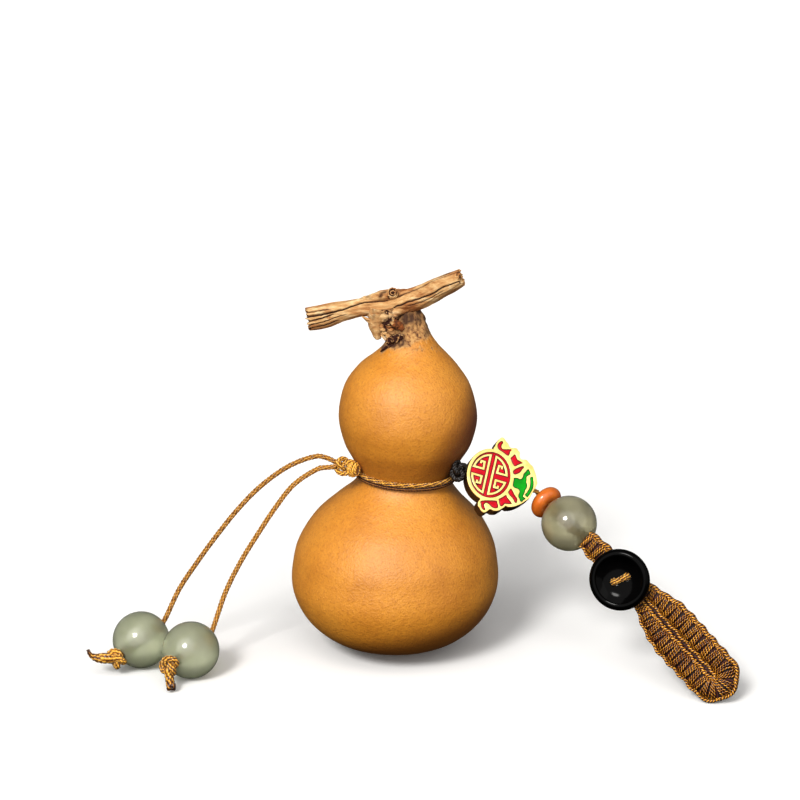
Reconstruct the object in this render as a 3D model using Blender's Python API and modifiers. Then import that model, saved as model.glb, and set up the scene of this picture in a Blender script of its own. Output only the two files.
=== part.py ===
"""A small dried bottle gourd that stands on its base, with the piece of vine it grew from across its
stalk. A doubled cord is tied round its waist. Two tail cords leave it at the left, each with a jade
bead and an end knot. A strap leaves it at the right: an enamelled plate, a rondelle, a jade bead, a
braid, a button and a knotted loop.

Metres, +Z up. The origin is the middle of the flat spot that the gourd stands on, +X is to the right
and -Y is the front.
"""

import math

import bmesh
import bpy
from mathutils import Matrix, Vector

NAME = "bottle_gourd"

# The lower bulb's underside is a cut ellipse, down to the flat spot at the floor.
BULB_RADIUS = 0.0228
BULB_LEVEL = 0.0172
FLAT_RADIUS = 0.0045
# Above its widest level: height, radius and sideways lean of the skin, up into the stalk.
SKIN_LEVELS = (
    (BULB_LEVEL, BULB_RADIUS, 0.0000),
    (0.0240, 0.0216, 0.00015),
    (0.0300, 0.0184, 0.00045),
    (0.0345, 0.0140, 0.0008),
    (0.0376, 0.0110, 0.0015),
    (0.0400, 0.0096, 0.0021),
    (0.0424, 0.0096, 0.0025),
    (0.0446, 0.0109, 0.0027),
    (0.0480, 0.0134, 0.0028),
    (0.0535, 0.01485, 0.0028),
    (0.0598, 0.0136, 0.0027),
    (0.0642, 0.0108, 0.0028),
    (0.0670, 0.0079, 0.0033),
    (0.0692, 0.0058, 0.0034),
    (0.0722, 0.0042, 0.0031),
    (0.0758, 0.0032, 0.0029),
    (0.0785, 0.0029, 0.0028),
)
SKIN_SIDES = 52
SKIN_RINGS = 30
UNDER_RINGS = 9

# The vine runs across the top of the stalk: place and radius along it, left to right.
VINE_STATIONS = (
    ((-0.0182, 0.0005, 0.0746), 0.0025),
    ((-0.0148, 0.0005, 0.0753), 0.0025),
    ((-0.0110, 0.0003, 0.0764), 0.0021),
    ((-0.0065, 0.0001, 0.0774), 0.0020),
    ((-0.0006, 0.0000, 0.0778), 0.0024),
    ((0.0053, -0.0004, 0.0797), 0.0025),
    ((0.0092, -0.0012, 0.0819), 0.0023),
    ((0.0139, -0.0026, 0.0844), 0.0018),
)
VINE_RIDGES = 8
VINE_GROOVE = 0.80
# A torn side shoot hangs from the vine beside the stalk, and a broken stub stands on top.
SHOOT_STATIONS = (
    ((-0.0022, -0.0006, 0.0778), 0.0026),
    ((-0.0030, -0.0011, 0.0753), 0.0027),
    ((-0.0028, -0.0014, 0.0729), 0.0023),
    ((-0.0022, -0.0014, 0.0709), 0.0013),
)
STUB_STATIONS = (
    ((-0.0010, -0.0004, 0.0785), 0.0020),
    ((-0.0008, -0.0006, 0.0799), 0.0018),
    ((-0.0006, -0.0007, 0.0808), 0.0015),
)

# A knot is drawn as a three lobed curve about two units round: its strand, and its points.
KNOT_STRAND = 0.74
KNOT_POINTS = 44

CORD_RADIUS = 0.00058
# A golden and a dark cord lie round the waist, dipping a little to the right as the waist does.
WAIST_MIDDLES = {"upper": (0.0024, 0.0, 0.04195), "lower": (0.0023, 0.0, 0.04070)}
WAIST_CORD_RADIUS = 0.00055
WAIST_RING_RADIUS = 0.01070
WAIST_TILT = math.radians(3)

TAIL_KNOT_PLACE = (-0.0106, -0.0058, 0.04385)
TAIL_KNOT_FACE = (0.3, -0.9, 0.3)
TAIL_KNOT_REACH = (0.00265, 0.0021, 0.0024)

BEAD_RADIUS = 0.0061
BEAD_BORE = 0.0010
BEAD_SIDES = 28
BEAD_RINGS = 13
# Each tail: its bead's place, the way its bore points forward, its end knot and its route.
TAILS = {
    "back": {
        "bead": (-0.0548, -0.0110, 0.0061),
        "axis": (-0.64, -0.71, -0.29),
        "route": (
            (-0.0137, -0.0048, 0.0450),
            (-0.0167, -0.0042, 0.0456),
            (-0.0227, -0.0037, 0.0432),
            (-0.0290, -0.0037, 0.0385),
            (-0.0342, -0.0039, 0.0330),
            (-0.0389, -0.0042, 0.0270),
            (-0.0428, -0.0043, 0.0215),
            (-0.0469, -0.0043, 0.0152),
            (-0.0504, -0.0052, 0.0100),
        ),
        "knot_spin": 20,
        "end": (
            ((-0.0604, -0.0166, 0.0041), 0.0012),
            ((-0.0622, -0.0169, 0.0043), 0.0014),
            ((-0.0637, -0.0172, 0.0045), 0.0012),
            ((-0.0649, -0.0174, 0.0052), 0.0007),
            ((-0.0655, -0.0174, 0.0064), 0.0004),
        ),
    },
    "front": {
        "bead": (-0.0436, -0.0167, 0.0061),
        "axis": (-0.54, -0.83, -0.11),
        "route": (
            (-0.0136, -0.0063, 0.0437),
            (-0.0163, -0.0060, 0.0434),
            (-0.0216, -0.0057, 0.0397),
            (-0.0257, -0.0058, 0.0344),
            (-0.0294, -0.0064, 0.0288),
            (-0.0332, -0.0069, 0.0226),
            (-0.0367, -0.0074, 0.0155),
            (-0.0400, -0.0090, 0.0096),
        ),
        "knot_spin": 65,
        "end": (
            ((-0.0477, -0.0234, 0.0046), 0.0011),
            ((-0.0476, -0.0240, 0.0031), 0.0009),
            ((-0.0474, -0.0246, 0.0020), 0.0009),
            ((-0.0470, -0.0256, 0.0012), 0.0010),
        ),
    },
}
END_KNOT_REACH = (0.0023, 0.0021, 0.0022)
END_KNOT_STEP = 0.00755
END_KNOT_CORE_RADIUS = 0.0009
END_KNOT_CORE_HALF = 0.0008

STRAP_KNOT_PLACE = (0.0131, -0.0069, 0.0433)
STRAP_KNOT_FACE = (0.5, -0.8, 0.2)
STRAP_KNOT_REACH = (0.00135, 0.0022, 0.0016)

# The plate: its roundel's middle, the way it hangs, the way it faces, and its outline.
PLATE_MIDDLE = (0.0200, -0.0057, 0.0414)
PLATE_AXIS = (0.950, 0.045, -0.308)
PLATE_FACE = (0.205, -0.795, 0.570)
PLATE_THICK = 0.0035
# The roundel is a little wider across than along, and so is all that lies in it.
ROUNDEL_HALF = (0.0052, 0.0060)
PLATE_BORE = 0.0008
PLATE_BORE_LENGTH = 0.030
# The bore lies a hair behind the middle of the plate's thickness.
PLATE_BORE_LEVEL = -0.0001
# Half of the outline past the roundel, mirrored about the hanging axis: along and across.
WING_OUTLINE = (
    (-0.0007, 0.0056),
    (-0.0008, 0.0063),
    (-0.0006, 0.0073),
    (-0.0003, 0.0080),
    (0.0001, 0.0085),
    (0.0007, 0.0088),
    (0.0012, 0.0084),
    (0.0017, 0.0079),
    (0.0024, 0.0077),
    (0.0030, 0.0074),
    (0.0039, 0.0073),
    (0.0044, 0.0069),
    (0.0049, 0.0064),
    (0.0051, 0.0058),
    (0.0057, 0.0056),
    (0.0067, 0.0055),
    (0.0077, 0.0049),
    (0.0084, 0.0044),
    (0.0090, 0.0036),
    (0.0095, 0.0027),
    (0.0099, 0.0019),
    (0.0102, 0.0010),
    (0.0102, 0.0000),
)
# The wings are swept: a point goes this far along for each unit that it lies across.
WING_SWEEP = 0.09
WALL_RADIUS = 0.00024
RING_WALL_HALF = (0.0048, 0.0056)
# One quarter of the roundel's fret: bar, arc, bar inwards and hook. The arc is worked out.
FRET_BAR = 0.00065
FRET_ARC_HALF = (0.0038, 0.0044)
FRET_HOOK = ((0.0038, 0.0008), (0.0017, 0.0008), (0.0017, 0.0025), (0.0026, 0.0025), (0.0026, 0.0018))
# Half of the walls between the wing's cells, each mirrored.
WING_WALLS = (
    ((0.0026, 0.0050), (0.0031, 0.0059), (0.0038, 0.0068)),
    ((0.0043, 0.0029), (0.0050, 0.0034), (0.0064, 0.0046)),
    ((0.0048, 0.0012), (0.0057, 0.0018), (0.0067, 0.0030), (0.0074, 0.0043)),
)
BROW_ARC_MIDDLE = 0.0040
BROW_ARC_RADIUS = 0.0046
BROW_ARC_SPREAD = math.radians(28)

STRAP_BEAD_RADIUS = 0.0059
STRAP_BEAD_PLACE = (0.0371, -0.0105, 0.0326)
STRAP_BEAD_AXIS = (0.61, -0.70, -0.38)
RONDELLE_RADIUS = 0.0037
RONDELLE_THICK = 0.0030
RONDELLE_STEP = 0.0076
STRAP_CORD_RADIUS = 0.0005
# Where the strap's cord lies along the plate's own axis.
STRAP_CORD_IN_PLATE = (-0.0056, -0.0020, 0.0030, 0.0080, 0.0101, 0.0109)
STRAP_CORD_POINTS = 23

BUTTON_PLACE = (0.0473, -0.0210, 0.0239)
BUTTON_FACE = (-0.32, -0.92, 0.22)
BUTTON_RADIUS = 0.0065
BUTTON_THICK = 0.0032
STITCH_RADIUS = 0.0007
STITCH_HOLE = 0.0010
STITCH_HALF_SPAN = 0.00145
STITCH_SLOPE = math.radians(24)
STITCH_CREST = 0.0012

BRAID_WIDTH = 0.0050
BRAID_THICK = 0.0028
BRAID_PITCH = 0.0026
BRAID_DEPTH = 0.0033
# The short braid starts narrow at the bead and is full width this far on.
BRAID_START_SCALE = 0.72
BRAID_GROWN_LENGTH = 0.0040
# The loop's two arms lie side by side, part below the button and meet in a round end.
LOOP_END_MIDDLE = (0.0665, -0.0293, 0.0055)
LOOP_ARM_OFFSET = 0.0029
LOOP_WIDTH = 0.0052
# Each arm from behind the button to where it runs straight: along, across and its width there.
LOOP_RIGHT_ARM = (
    (0.0012, 0.0014, 0.0025),
    (0.0048, 0.0018, 0.0032),
    (0.0090, 0.0024, 0.0043),
    (0.0134, LOOP_ARM_OFFSET, LOOP_WIDTH),
)
LOOP_LEFT_ARM = (
    (0.0012, -0.0013, 0.0024),
    (0.0062, -0.0013, 0.0024),
    (0.0106, -0.0023, 0.0042),
    (0.0158, -LOOP_ARM_OFFSET, LOOP_WIDTH),
)
LOOP_STRAIGHT_END = 0.0040
LOOP_THICK = 0.0031


def clear_scene():
    for thing in list(bpy.data.objects):
        bpy.data.objects.remove(thing, do_unlink=True)


def principled(name, colour, roughness, metallic=0.0):
    """A plain surface of one colour."""
    material = bpy.data.materials.new(name)
    material.use_nodes = True
    shader = material.node_tree.nodes["Principled BSDF"]
    shader.inputs["Base Color"].default_value = (*colour, 1.0)
    shader.inputs["Roughness"].default_value = roughness
    shader.inputs["Metallic"].default_value = metallic
    return material


def finish_object(thing, name, collection, material):
    """Names a piece, files it in its collection and gives it its one material and smooth shading."""
    thing.name = name
    thing.data.name = name
    for holder in list(thing.users_collection):
        holder.objects.unlink(thing)
    collection.objects.link(thing)
    thing.data.materials.clear()
    thing.data.materials.append(material)
    if thing.type == "MESH":
        thing.data.shade_smooth()
        thing.data.set_sharp_from_angle(angle=math.radians(50))
    return thing


def turn_between(axis, face):
    """The rotation whose X runs along axis and whose Z faces face."""
    x = Vector(axis).normalized()
    z = Vector(face)
    z = (z - x * z.dot(x)).normalized()
    return Matrix((x, z.cross(x), z)).transposed().to_4x4()


def turn_up(axis):
    """The rotation whose Z runs along axis."""
    return Vector(axis).to_track_quat("Z", "Y").to_matrix().to_4x4()


def catmull(a, b, c, d, t):
    """A point of the smooth curve from b to c, which also knows its neighbours a and d."""
    return 0.5 * (
        2 * b + (c - a) * t + (2 * a - 5 * b + 4 * c - d) * t * t + (3 * b - a - 3 * c + d) * t**3
    )


def smooth_through(stations, count):
    """count points at even steps along a smooth curve through the stations, of any dimension."""
    points = [Vector(s) for s in stations]
    points = [2 * points[0] - points[1], *points, 2 * points[-1] - points[-2]]
    fine = []
    for i in range(1, len(points) - 2):
        fine += [catmull(*points[i - 1 : i + 3], step / 12) for step in range(12)]
    fine.append(points[-2])
    travelled = [0.0]
    for first, second in zip(fine, fine[1:]):
        travelled.append(travelled[-1] + (second - first).length)
    result = []
    place = 0
    for step in range(count):
        target = travelled[-1] * step / (count - 1)
        while place < len(fine) - 2 and travelled[place + 1] < target:
            place += 1
        span = travelled[place + 1] - travelled[place]
        result.append(fine[place].lerp(fine[place + 1], (target - travelled[place]) / span))
    return result


def curve_tube(points, radii, bevel_resolution=2, section=None, closed=False, flat=False):
    """A round or sectioned tube along points, with a radius at each, as a curve object."""
    curve = bpy.data.curves.new("tube", "CURVE")
    curve.dimensions = "2D" if flat else "3D"
    spline = curve.splines.new("POLY")
    spline.points.add(len(points) - 1)
    for point, place, radius in zip(spline.points, points, radii):
        point.co = (*place, 1.0)
        point.radius = radius
    spline.use_cyclic_u = closed
    curve.use_fill_caps = not closed
    if section is None:
        curve.bevel_depth = 1.0
        curve.bevel_resolution = bevel_resolution
    else:
        curve.bevel_mode = "OBJECT"
        curve.bevel_object = section
    thing = bpy.data.objects.new("tube", curve)
    bpy.context.scene.collection.objects.link(thing)
    return thing


def section_curve(outline):
    """A closed flat outline that a sectioned tube is swept with."""
    curve = bpy.data.curves.new("section", "CURVE")
    curve.dimensions = "2D"
    spline = curve.splines.new("POLY")
    spline.points.add(len(outline) - 1)
    for point, (x, y) in zip(spline.points, outline):
        point.co = (x, y, 0.0, 1.0)
    spline.use_cyclic_u = True
    thing = bpy.data.objects.new("section", curve)
    bpy.context.scene.collection.objects.link(thing)
    return thing


def as_mesh(thing, weld=1e-6):
    """The object as a welded mesh in world space, with the original removed."""
    bpy.context.view_layer.update()
    evaluated = thing.evaluated_get(bpy.context.evaluated_depsgraph_get())
    mesh = bpy.data.meshes.new_from_object(evaluated)
    mesh.transform(thing.matrix_world)
    work = bmesh.new()
    work.from_mesh(mesh)
    if weld:
        bmesh.ops.remove_doubles(work, verts=work.verts, dist=weld)
    bmesh.ops.recalc_face_normals(work, faces=work.faces)
    work.to_mesh(mesh)
    work.free()
    result = bpy.data.objects.new("mesh", mesh)
    bpy.context.scene.collection.objects.link(result)
    bpy.data.objects.remove(thing, do_unlink=True)
    return result


def combined(base, others, operation, solver="EXACT"):
    """base joined with or cut by the others, as one mesh, with the others removed."""
    for other in others:
        boolean = base.modifiers.new("boolean", "BOOLEAN")
        boolean.operation = operation
        boolean.solver = solver
        boolean.object = other
    result = as_mesh(base, weld=0.0)
    for other in others:
        bpy.data.objects.remove(other, do_unlink=True)
    return result


def turned(profile, sides, name="turned"):
    """A solid turned about Z from a profile of (radius, height), top to bottom down its outer side."""
    mesh = bpy.data.meshes.new(name)
    closed = profile[0][0] > 0
    edges = [(i, i + 1) for i in range(len(profile) - 1)]
    if closed:
        edges.append((len(profile) - 1, 0))
    mesh.from_pydata([(radius, 0.0, height) for radius, height in profile], edges, [])
    thing = bpy.data.objects.new(name, mesh)
    bpy.context.scene.collection.objects.link(thing)
    screw = thing.modifiers.new("turn", "SCREW")
    screw.steps = sides
    screw.render_steps = sides
    screw.use_merge_vertices = True
    screw.merge_threshold = 1e-6
    return thing


def placed(thing, matrix):
    """The object, laid in place by this matrix."""
    thing.matrix_world = matrix
    return thing


def skin_profile():
    """(height, radius, lean) along the gourd's skin, from the stalk's top down to the flat spot."""
    profile = [tuple(p) for p in reversed(smooth_through(SKIN_LEVELS, SKIN_RINGS))]
    half_depth = BULB_LEVEL / math.sqrt(1 - (FLAT_RADIUS / BULB_RADIUS) ** 2)
    lowest = math.acos(FLAT_RADIUS / BULB_RADIUS)
    for step in range(1, UNDER_RINGS + 1):
        angle = lowest * step / UNDER_RINGS
        height = BULB_LEVEL - half_depth * math.sin(angle)
        profile.append((max(height, 0.0), BULB_RADIUS * math.cos(angle), 0.0))
    profile[-1] = (0.0, FLAT_RADIUS, 0.0)
    return profile


def lean_at(height, profile):
    """The skin's sideways lean at a height."""
    for upper, lower in zip(profile, profile[1:]):
        if lower[0] <= height <= upper[0]:
            share = (height - lower[0]) / max(upper[0] - lower[0], 1e-9)
            return lower[2] + (upper[2] - lower[2]) * share
    return profile[0][2] if height > profile[0][0] else 0.0


def make_skin():
    """The gourd's own body, turned round and then leaned."""
    profile = skin_profile()
    top = profile[0][0]
    outline = [(0.0, top), *((radius, height) for height, radius, _ in profile), (0.0, 0.0)]
    body = as_mesh(turned(outline, SKIN_SIDES))
    for vertex in body.data.vertices:
        vertex.co.x += lean_at(vertex.co.z, profile)
    return body


def make_vine():
    """The ridged piece of vine, as a tube whose section has ridges and grooves."""
    stations = [(*place, radius) for place, radius in VINE_STATIONS]
    ridges = []
    for i in range(2 * VINE_RIDGES):
        angle = math.pi * i / VINE_RIDGES
        reach = 1.0 if i % 2 == 0 else VINE_GROOVE
        ridges.append((reach * math.cos(angle), reach * math.sin(angle)))
    section = section_curve(ridges)
    line = smooth_through(stations, 20)
    vine = as_mesh(curve_tube([p[:3] for p in line], [p[3] for p in line], section=section))
    bpy.data.objects.remove(section, do_unlink=True)
    return vine


def tapered(stations, count, bevel_resolution=2):
    """A tube through (place, radius) stations."""
    line = smooth_through([(*place, radius) for place, radius in stations], count)
    return curve_tube([p[:3] for p in line], [p[3] for p in line], bevel_resolution)


def make_gourd(collection, material):
    """Bulbs, stalk and vine grew as one piece."""
    grown = [make_vine(), as_mesh(tapered(SHOOT_STATIONS, 7)), as_mesh(tapered(STUB_STATIONS, 4))]
    gourd = combined(make_skin(), grown, "UNION")
    return finish_object(gourd, "gourd", collection, material)


def make_waist_cord(level, collection, material):
    bpy.ops.mesh.primitive_torus_add(
        major_radius=WAIST_RING_RADIUS,
        minor_radius=WAIST_CORD_RADIUS,
        major_segments=44,
        minor_segments=8,
        location=WAIST_MIDDLES[level],
        rotation=(0.0, WAIST_TILT, 0.0),
    )
    finish_object(bpy.context.object, "waist_cord_" + level, collection, material)


def knot_tube(place, turn, reach):
    """A tight overhand knot of one strand, closed on itself, with its own reach along each axis."""
    points = []
    for i in range(KNOT_POINTS):
        t = 2 * math.pi * i / KNOT_POINTS
        ring = 2.0 + math.cos(3 * t)
        points.append(Vector((ring * math.cos(2 * t), ring * math.sin(2 * t), 1.2 * math.sin(3 * t))))
    tube = curve_tube(points, [KNOT_STRAND] * KNOT_POINTS, 1, closed=True)
    scale = Matrix.Diagonal((*(r / (3.0 + KNOT_STRAND) for r in reach), 1.0))
    return placed(tube, Matrix.Translation(place) @ turn @ scale)


def make_tail_knot(collection, material):
    knot = as_mesh(knot_tube(TAIL_KNOT_PLACE, turn_up(TAIL_KNOT_FACE), TAIL_KNOT_REACH))
    finish_object(knot, "tail_knot", collection, material)


def bored_ball(radius, bore):
    """A ball with a straight bore along Z."""
    start = math.asin(bore / radius)
    profile = []
    for i in range(BEAD_RINGS):
        angle = start + (math.pi - 2 * start) * i / (BEAD_RINGS - 1)
        profile.append((radius * math.sin(angle), radius * math.cos(angle)))
    return turned(profile, BEAD_SIDES)


def make_tail(side, spec, collection, materials):
    """One tail: its bead, the cord that comes down to it and runs through it, and its end knot."""
    place = Vector(spec["bead"])
    axis = Vector(spec["axis"]).normalized()
    bead = placed(bored_ball(BEAD_RADIUS, BEAD_BORE), Matrix.Translation(place) @ turn_up(axis))
    finish_object(bead, "tail_bead_" + side, collection, materials["jade"])

    knot_middle = place + axis * END_KNOT_STEP
    turn = turn_up(axis) @ Matrix.Rotation(math.radians(spec["knot_spin"]), 4, "Z")
    knot = as_mesh(knot_tube(knot_middle, turn, END_KNOT_REACH))
    end = as_mesh(tapered(spec["end"], 7))
    half = axis * END_KNOT_CORE_HALF
    core_ends = ((knot_middle - half, END_KNOT_CORE_RADIUS), (knot_middle + half, END_KNOT_CORE_RADIUS))
    core = as_mesh(tapered(core_ends, 2))
    knot = combined(knot, [core, end], "UNION")
    finish_object(knot, "end_knot_" + side, collection, materials["cord"])

    through = [place + axis * BEAD_RADIUS * share for share in (-1.2, -0.5, 0.5, 1.02)]
    line = smooth_through([*spec["route"], *through], 26)
    cord = curve_tube(line, [CORD_RADIUS] * len(line))
    finish_object(cord, "tail_cord_" + side, collection, materials["cord"])


def make_strap_knot(collection, material):
    knot = as_mesh(knot_tube(STRAP_KNOT_PLACE, turn_up(STRAP_KNOT_FACE), STRAP_KNOT_REACH))
    finish_object(knot, "strap_knot", collection, material)


def flat_outline(points, thickness):
    """A flat shape with this outline, as thick as that about its own plane."""
    curve = bpy.data.curves.new("outline", "CURVE")
    curve.dimensions = "2D"
    curve.fill_mode = "BOTH"
    curve.extrude = thickness / 2
    spline = curve.splines.new("POLY")
    spline.points.add(len(points) - 1)
    for point, (x, y) in zip(spline.points, points):
        point.co = (x, y, 0.0, 1.0)
    spline.use_cyclic_u = True
    thing = bpy.data.objects.new("outline", curve)
    bpy.context.scene.collection.objects.link(thing)
    return thing


def swept(points, side=1):
    """Points of the wing laid as they are, or mirrored with side -1, and swept."""
    return [(x + WING_SWEEP * y * side, y * side) for x, y in points]


def plate_outline():
    """The whole outline: the roundel's arc at the left, then the wing's upper and lower halves."""
    upper = swept(WING_OUTLINE)
    lower = swept(WING_OUTLINE[:-1], -1)[::-1]
    along, across = ROUNDEL_HALF
    first = math.atan2(lower[-1][1] / across, lower[-1][0] / along) % (2 * math.pi)
    last = math.atan2(upper[0][1] / across, upper[0][0] / along)
    steps = 20
    arc = []
    for i in range(steps + 1):
        angle = first + (last - first) * i / steps
        arc.append((along * math.cos(angle), across * math.sin(angle)))
    return arc + upper[1:] + lower[:-1]


def fret_stroke(side):
    """One half of the fret: hook, bar inwards, arc, long bar, and the same again at its other end."""
    along, across = FRET_ARC_HALF
    start = math.asin(FRET_BAR / along)
    end = math.acos(FRET_HOOK[0][1] / across)
    quarter = []
    for i in range(7):
        angle = start + (end - start) * i / 6
        quarter.append((along * math.sin(angle), across * math.cos(angle)))
    quarter += FRET_HOOK[1:]
    lower = [(x, -y) for x, y in reversed(quarter)]
    return [(x * side, y) for x, y in lower + quarter]


def wall(points, height):
    """A raised wire along points, half sunk in the plate's face."""
    line = [(x, y, height) for x, y in points]
    return curve_tube(line, [WALL_RADIUS] * len(line), 1)


def plate_walls(height):
    """Every raised wire of the plate's face."""
    along, across = RING_WALL_HALF
    ring = [
        (along * math.cos(math.pi * i / 16), across * math.sin(math.pi * i / 16), height)
        for i in range(32)
    ]
    walls = [curve_tube(ring, [WALL_RADIUS] * len(ring), 1, closed=True)]
    walls += [wall(fret_stroke(side), height) for side in (-1, 1)]
    for side in (-1, 1):
        walls += [wall(swept(line, side), height) for line in WING_WALLS]
    brow = []
    for i in range(9):
        angle = BROW_ARC_SPREAD * (i / 4 - 1)
        brow_along = BROW_ARC_MIDDLE + BROW_ARC_RADIUS * math.cos(angle)
        brow.append((brow_along, BROW_ARC_RADIUS * math.sin(angle)))
    walls.append(wall(swept(brow), height))
    return walls


def plate_turn():
    """Lays the plate's flat drawing in place: X along its hanging axis and Z out of its face."""
    return Matrix.Translation(PLATE_MIDDLE) @ turn_between(PLATE_AXIS, PLATE_FACE)


def make_plate(collection, material):
    """The gilt plate: an outlined slab, its raised walls, and the bore the strap's cord runs in."""
    slab = as_mesh(flat_outline(plate_outline(), PLATE_THICK))
    walls = [as_mesh(thing) for thing in plate_walls(PLATE_THICK / 2)]
    plate = combined(slab, walls, "UNION", "MANIFOLD")
    bpy.ops.mesh.primitive_cylinder_add(
        vertices=12,
        radius=PLATE_BORE,
        depth=PLATE_BORE_LENGTH,
        location=(0, 0, PLATE_BORE_LEVEL),
        rotation=(0, math.pi / 2, 0),
    )
    plate = combined(plate, [bpy.context.object], "DIFFERENCE", "MANIFOLD")
    plate.data.transform(plate_turn())
    finish_object(plate, "charm_plate", collection, material)


def make_strap_bead(collection, material):
    turn = Matrix.Translation(STRAP_BEAD_PLACE) @ turn_up(STRAP_BEAD_AXIS)
    bead = placed(bored_ball(STRAP_BEAD_RADIUS, BEAD_BORE), turn)
    finish_object(bead, "strap_bead", collection, material)


def rondelle_middle():
    """The rondelle sits on the bead's own axis, just before the bead."""
    return Vector(STRAP_BEAD_PLACE) - Vector(STRAP_BEAD_AXIS).normalized() * RONDELLE_STEP


def make_rondelle(collection, material):
    """A flat round bead with a rounded edge and a bore."""
    half = RONDELLE_THICK / 2
    profile = [(BEAD_BORE, half)]
    for i in range(9):
        angle = math.pi / 2 - math.pi * i / 8
        profile.append((RONDELLE_RADIUS - half + half * math.cos(angle), half * math.sin(angle)))
    profile.append((BEAD_BORE, -half))
    turn = Matrix.Translation(rondelle_middle()) @ turn_up(STRAP_BEAD_AXIS)
    rondelle = placed(turned(profile, 28), turn)
    finish_object(rondelle, "rondelle", collection, material)


def strap_cord_stations():
    """The strap's cord: out of its knot, through the plate, the rondelle and the bead."""
    axis = Vector(STRAP_BEAD_AXIS).normalized()
    half = axis * (RONDELLE_THICK / 2 + 0.0004)
    rondelle = rondelle_middle()
    bead = Vector(STRAP_BEAD_PLACE)
    inside = [plate_turn() @ Vector((x, 0.0, PLATE_BORE_LEVEL)) for x in STRAP_CORD_IN_PLATE]
    far = bead + axis * (STRAP_BEAD_RADIUS + 0.0002)
    return [*inside, rondelle - half, rondelle, rondelle + half, bead, far]


def make_strap_cord(collection, material):
    line = smooth_through(strap_cord_stations(), STRAP_CORD_POINTS)
    cord = curve_tube(line, [STRAP_CORD_RADIUS] * len(line))
    finish_object(cord, "strap_cord", collection, material)


def braid_section(width, thickness):
    """A flat band's section, rounded at its edges, one unit to a metre."""
    outline = []
    for i in range(12):
        angle = 2 * math.pi * (i + 0.5) / 12
        x = math.copysign(abs(math.cos(angle)) ** 0.7, math.cos(angle))
        y = math.copysign(abs(math.sin(angle)) ** 0.7, math.sin(angle))
        outline.append((x * width / 2, y * thickness / 2))
    return section_curve(outline)


def scallop(distance):
    """How full a braid is at a distance along it: each knot swells it."""
    return 0.93 + 0.07 * math.cos(2 * math.pi * distance / BRAID_PITCH)


def braid_end():
    """Where the braid and the loop meet, behind the button."""
    return Vector(BUTTON_PLACE) - Vector(BUTTON_FACE).normalized() * BRAID_DEPTH


def make_strap_braid(collection, material):
    """The short braid from the bead to the back of the button, swept flat and then placed."""
    axis = Vector(STRAP_BEAD_AXIS).normalized()
    start = Vector(STRAP_BEAD_PLACE) + axis * (STRAP_BEAD_RADIUS + 0.0006)
    run = braid_end() - start
    length = run.length - 0.0008
    section = braid_section(BRAID_WIDTH, BRAID_THICK)
    count = 20
    steps = [length * i / (count - 1) for i in range(count)]
    grown = [BRAID_START_SCALE + (1 - BRAID_START_SCALE) * s / BRAID_GROWN_LENGTH for s in steps]
    radii = [scallop(s) * min(1.0, share) for s, share in zip(steps, grown)]
    band = curve_tube([(s, 0.0, 0.0) for s in steps], radii, section=section, flat=True)
    placed(band, Matrix.Translation(start) @ turn_between(run, BUTTON_FACE))
    band = as_mesh(band)
    bpy.data.objects.remove(section, do_unlink=True)
    finish_object(band, "strap_braid", collection, material)


def button_profile():
    """Down the outer side: the raised rim, the edge and the back, then the dished floor."""
    half = BUTTON_THICK / 2
    rim = 0.0010
    profile = [(0.0, -0.0001), (0.0026, 0.0000), (0.0040, 0.0004), (0.0050, 0.0010)]
    for i in range(9):
        angle = math.radians(115) - math.radians(160) * i / 8
        profile.append((BUTTON_RADIUS - rim + rim * math.cos(angle), half - rim + rim * math.sin(angle)))
    profile += [(0.0054, -0.0009), (0.0040, -half + 0.0001), (0.0, -half)]
    return profile


def button_turn():
    """Lays the button's face its way, with X along the slope of its two holes."""
    z = Vector(BUTTON_FACE).normalized()
    x = Vector((math.cos(STITCH_SLOPE), 0.0, math.sin(STITCH_SLOPE)))
    x = (x - z * x.dot(z)).normalized()
    return Matrix.Translation(BUTTON_PLACE) @ Matrix((x, z.cross(x), z)).transposed().to_4x4()


def make_button(collection, material):
    """A dished button with two holes."""
    button = as_mesh(turned(button_profile(), 36))
    holes = []
    for side in (-1, 1):
        bpy.ops.mesh.primitive_cylinder_add(
            vertices=12, radius=STITCH_HOLE, depth=0.008, location=(side * STITCH_HALF_SPAN, 0, 0)
        )
        holes.append(bpy.context.object)
    button = combined(button, holes, "DIFFERENCE")
    button.data.transform(button_turn())
    finish_object(button, "button", collection, material)


def make_stitch(collection, material):
    """The stitch: a staple of cord over the button's floor, down its two holes."""
    span = STITCH_HALF_SPAN
    low = -BUTTON_THICK / 2 + 0.0002
    stations = (
        (-span, 0.0, low),
        (-span, 0.0, 0.0000),
        (-span * 0.8, 0.0, STITCH_CREST * 0.75),
        (0.0, 0.0, STITCH_CREST),
        (span * 0.8, 0.0, STITCH_CREST * 0.75),
        (span, 0.0, 0.0000),
        (span, 0.0, low),
    )
    line = smooth_through(stations, 15)
    stitch = curve_tube(line, [STITCH_RADIUS] * len(line))
    placed(stitch, button_turn())
    finish_object(stitch, "button_stitch", collection, material)


def loop_line(length):
    """From one arm's start round the end to the other's: along, across and width at each point."""
    straight = length - LOOP_STRAIGHT_END
    line = [*LOOP_RIGHT_ARM, (straight, LOOP_ARM_OFFSET, LOOP_WIDTH)]
    for i in range(9):
        angle = math.pi / 2 - math.pi * i / 8
        along = length + LOOP_ARM_OFFSET * math.cos(angle)
        line.append((along, LOOP_ARM_OFFSET * math.sin(angle), LOOP_WIDTH))
    line.append((straight, -LOOP_ARM_OFFSET, LOOP_WIDTH))
    return [*line, *reversed(LOOP_LEFT_ARM)]


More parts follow.
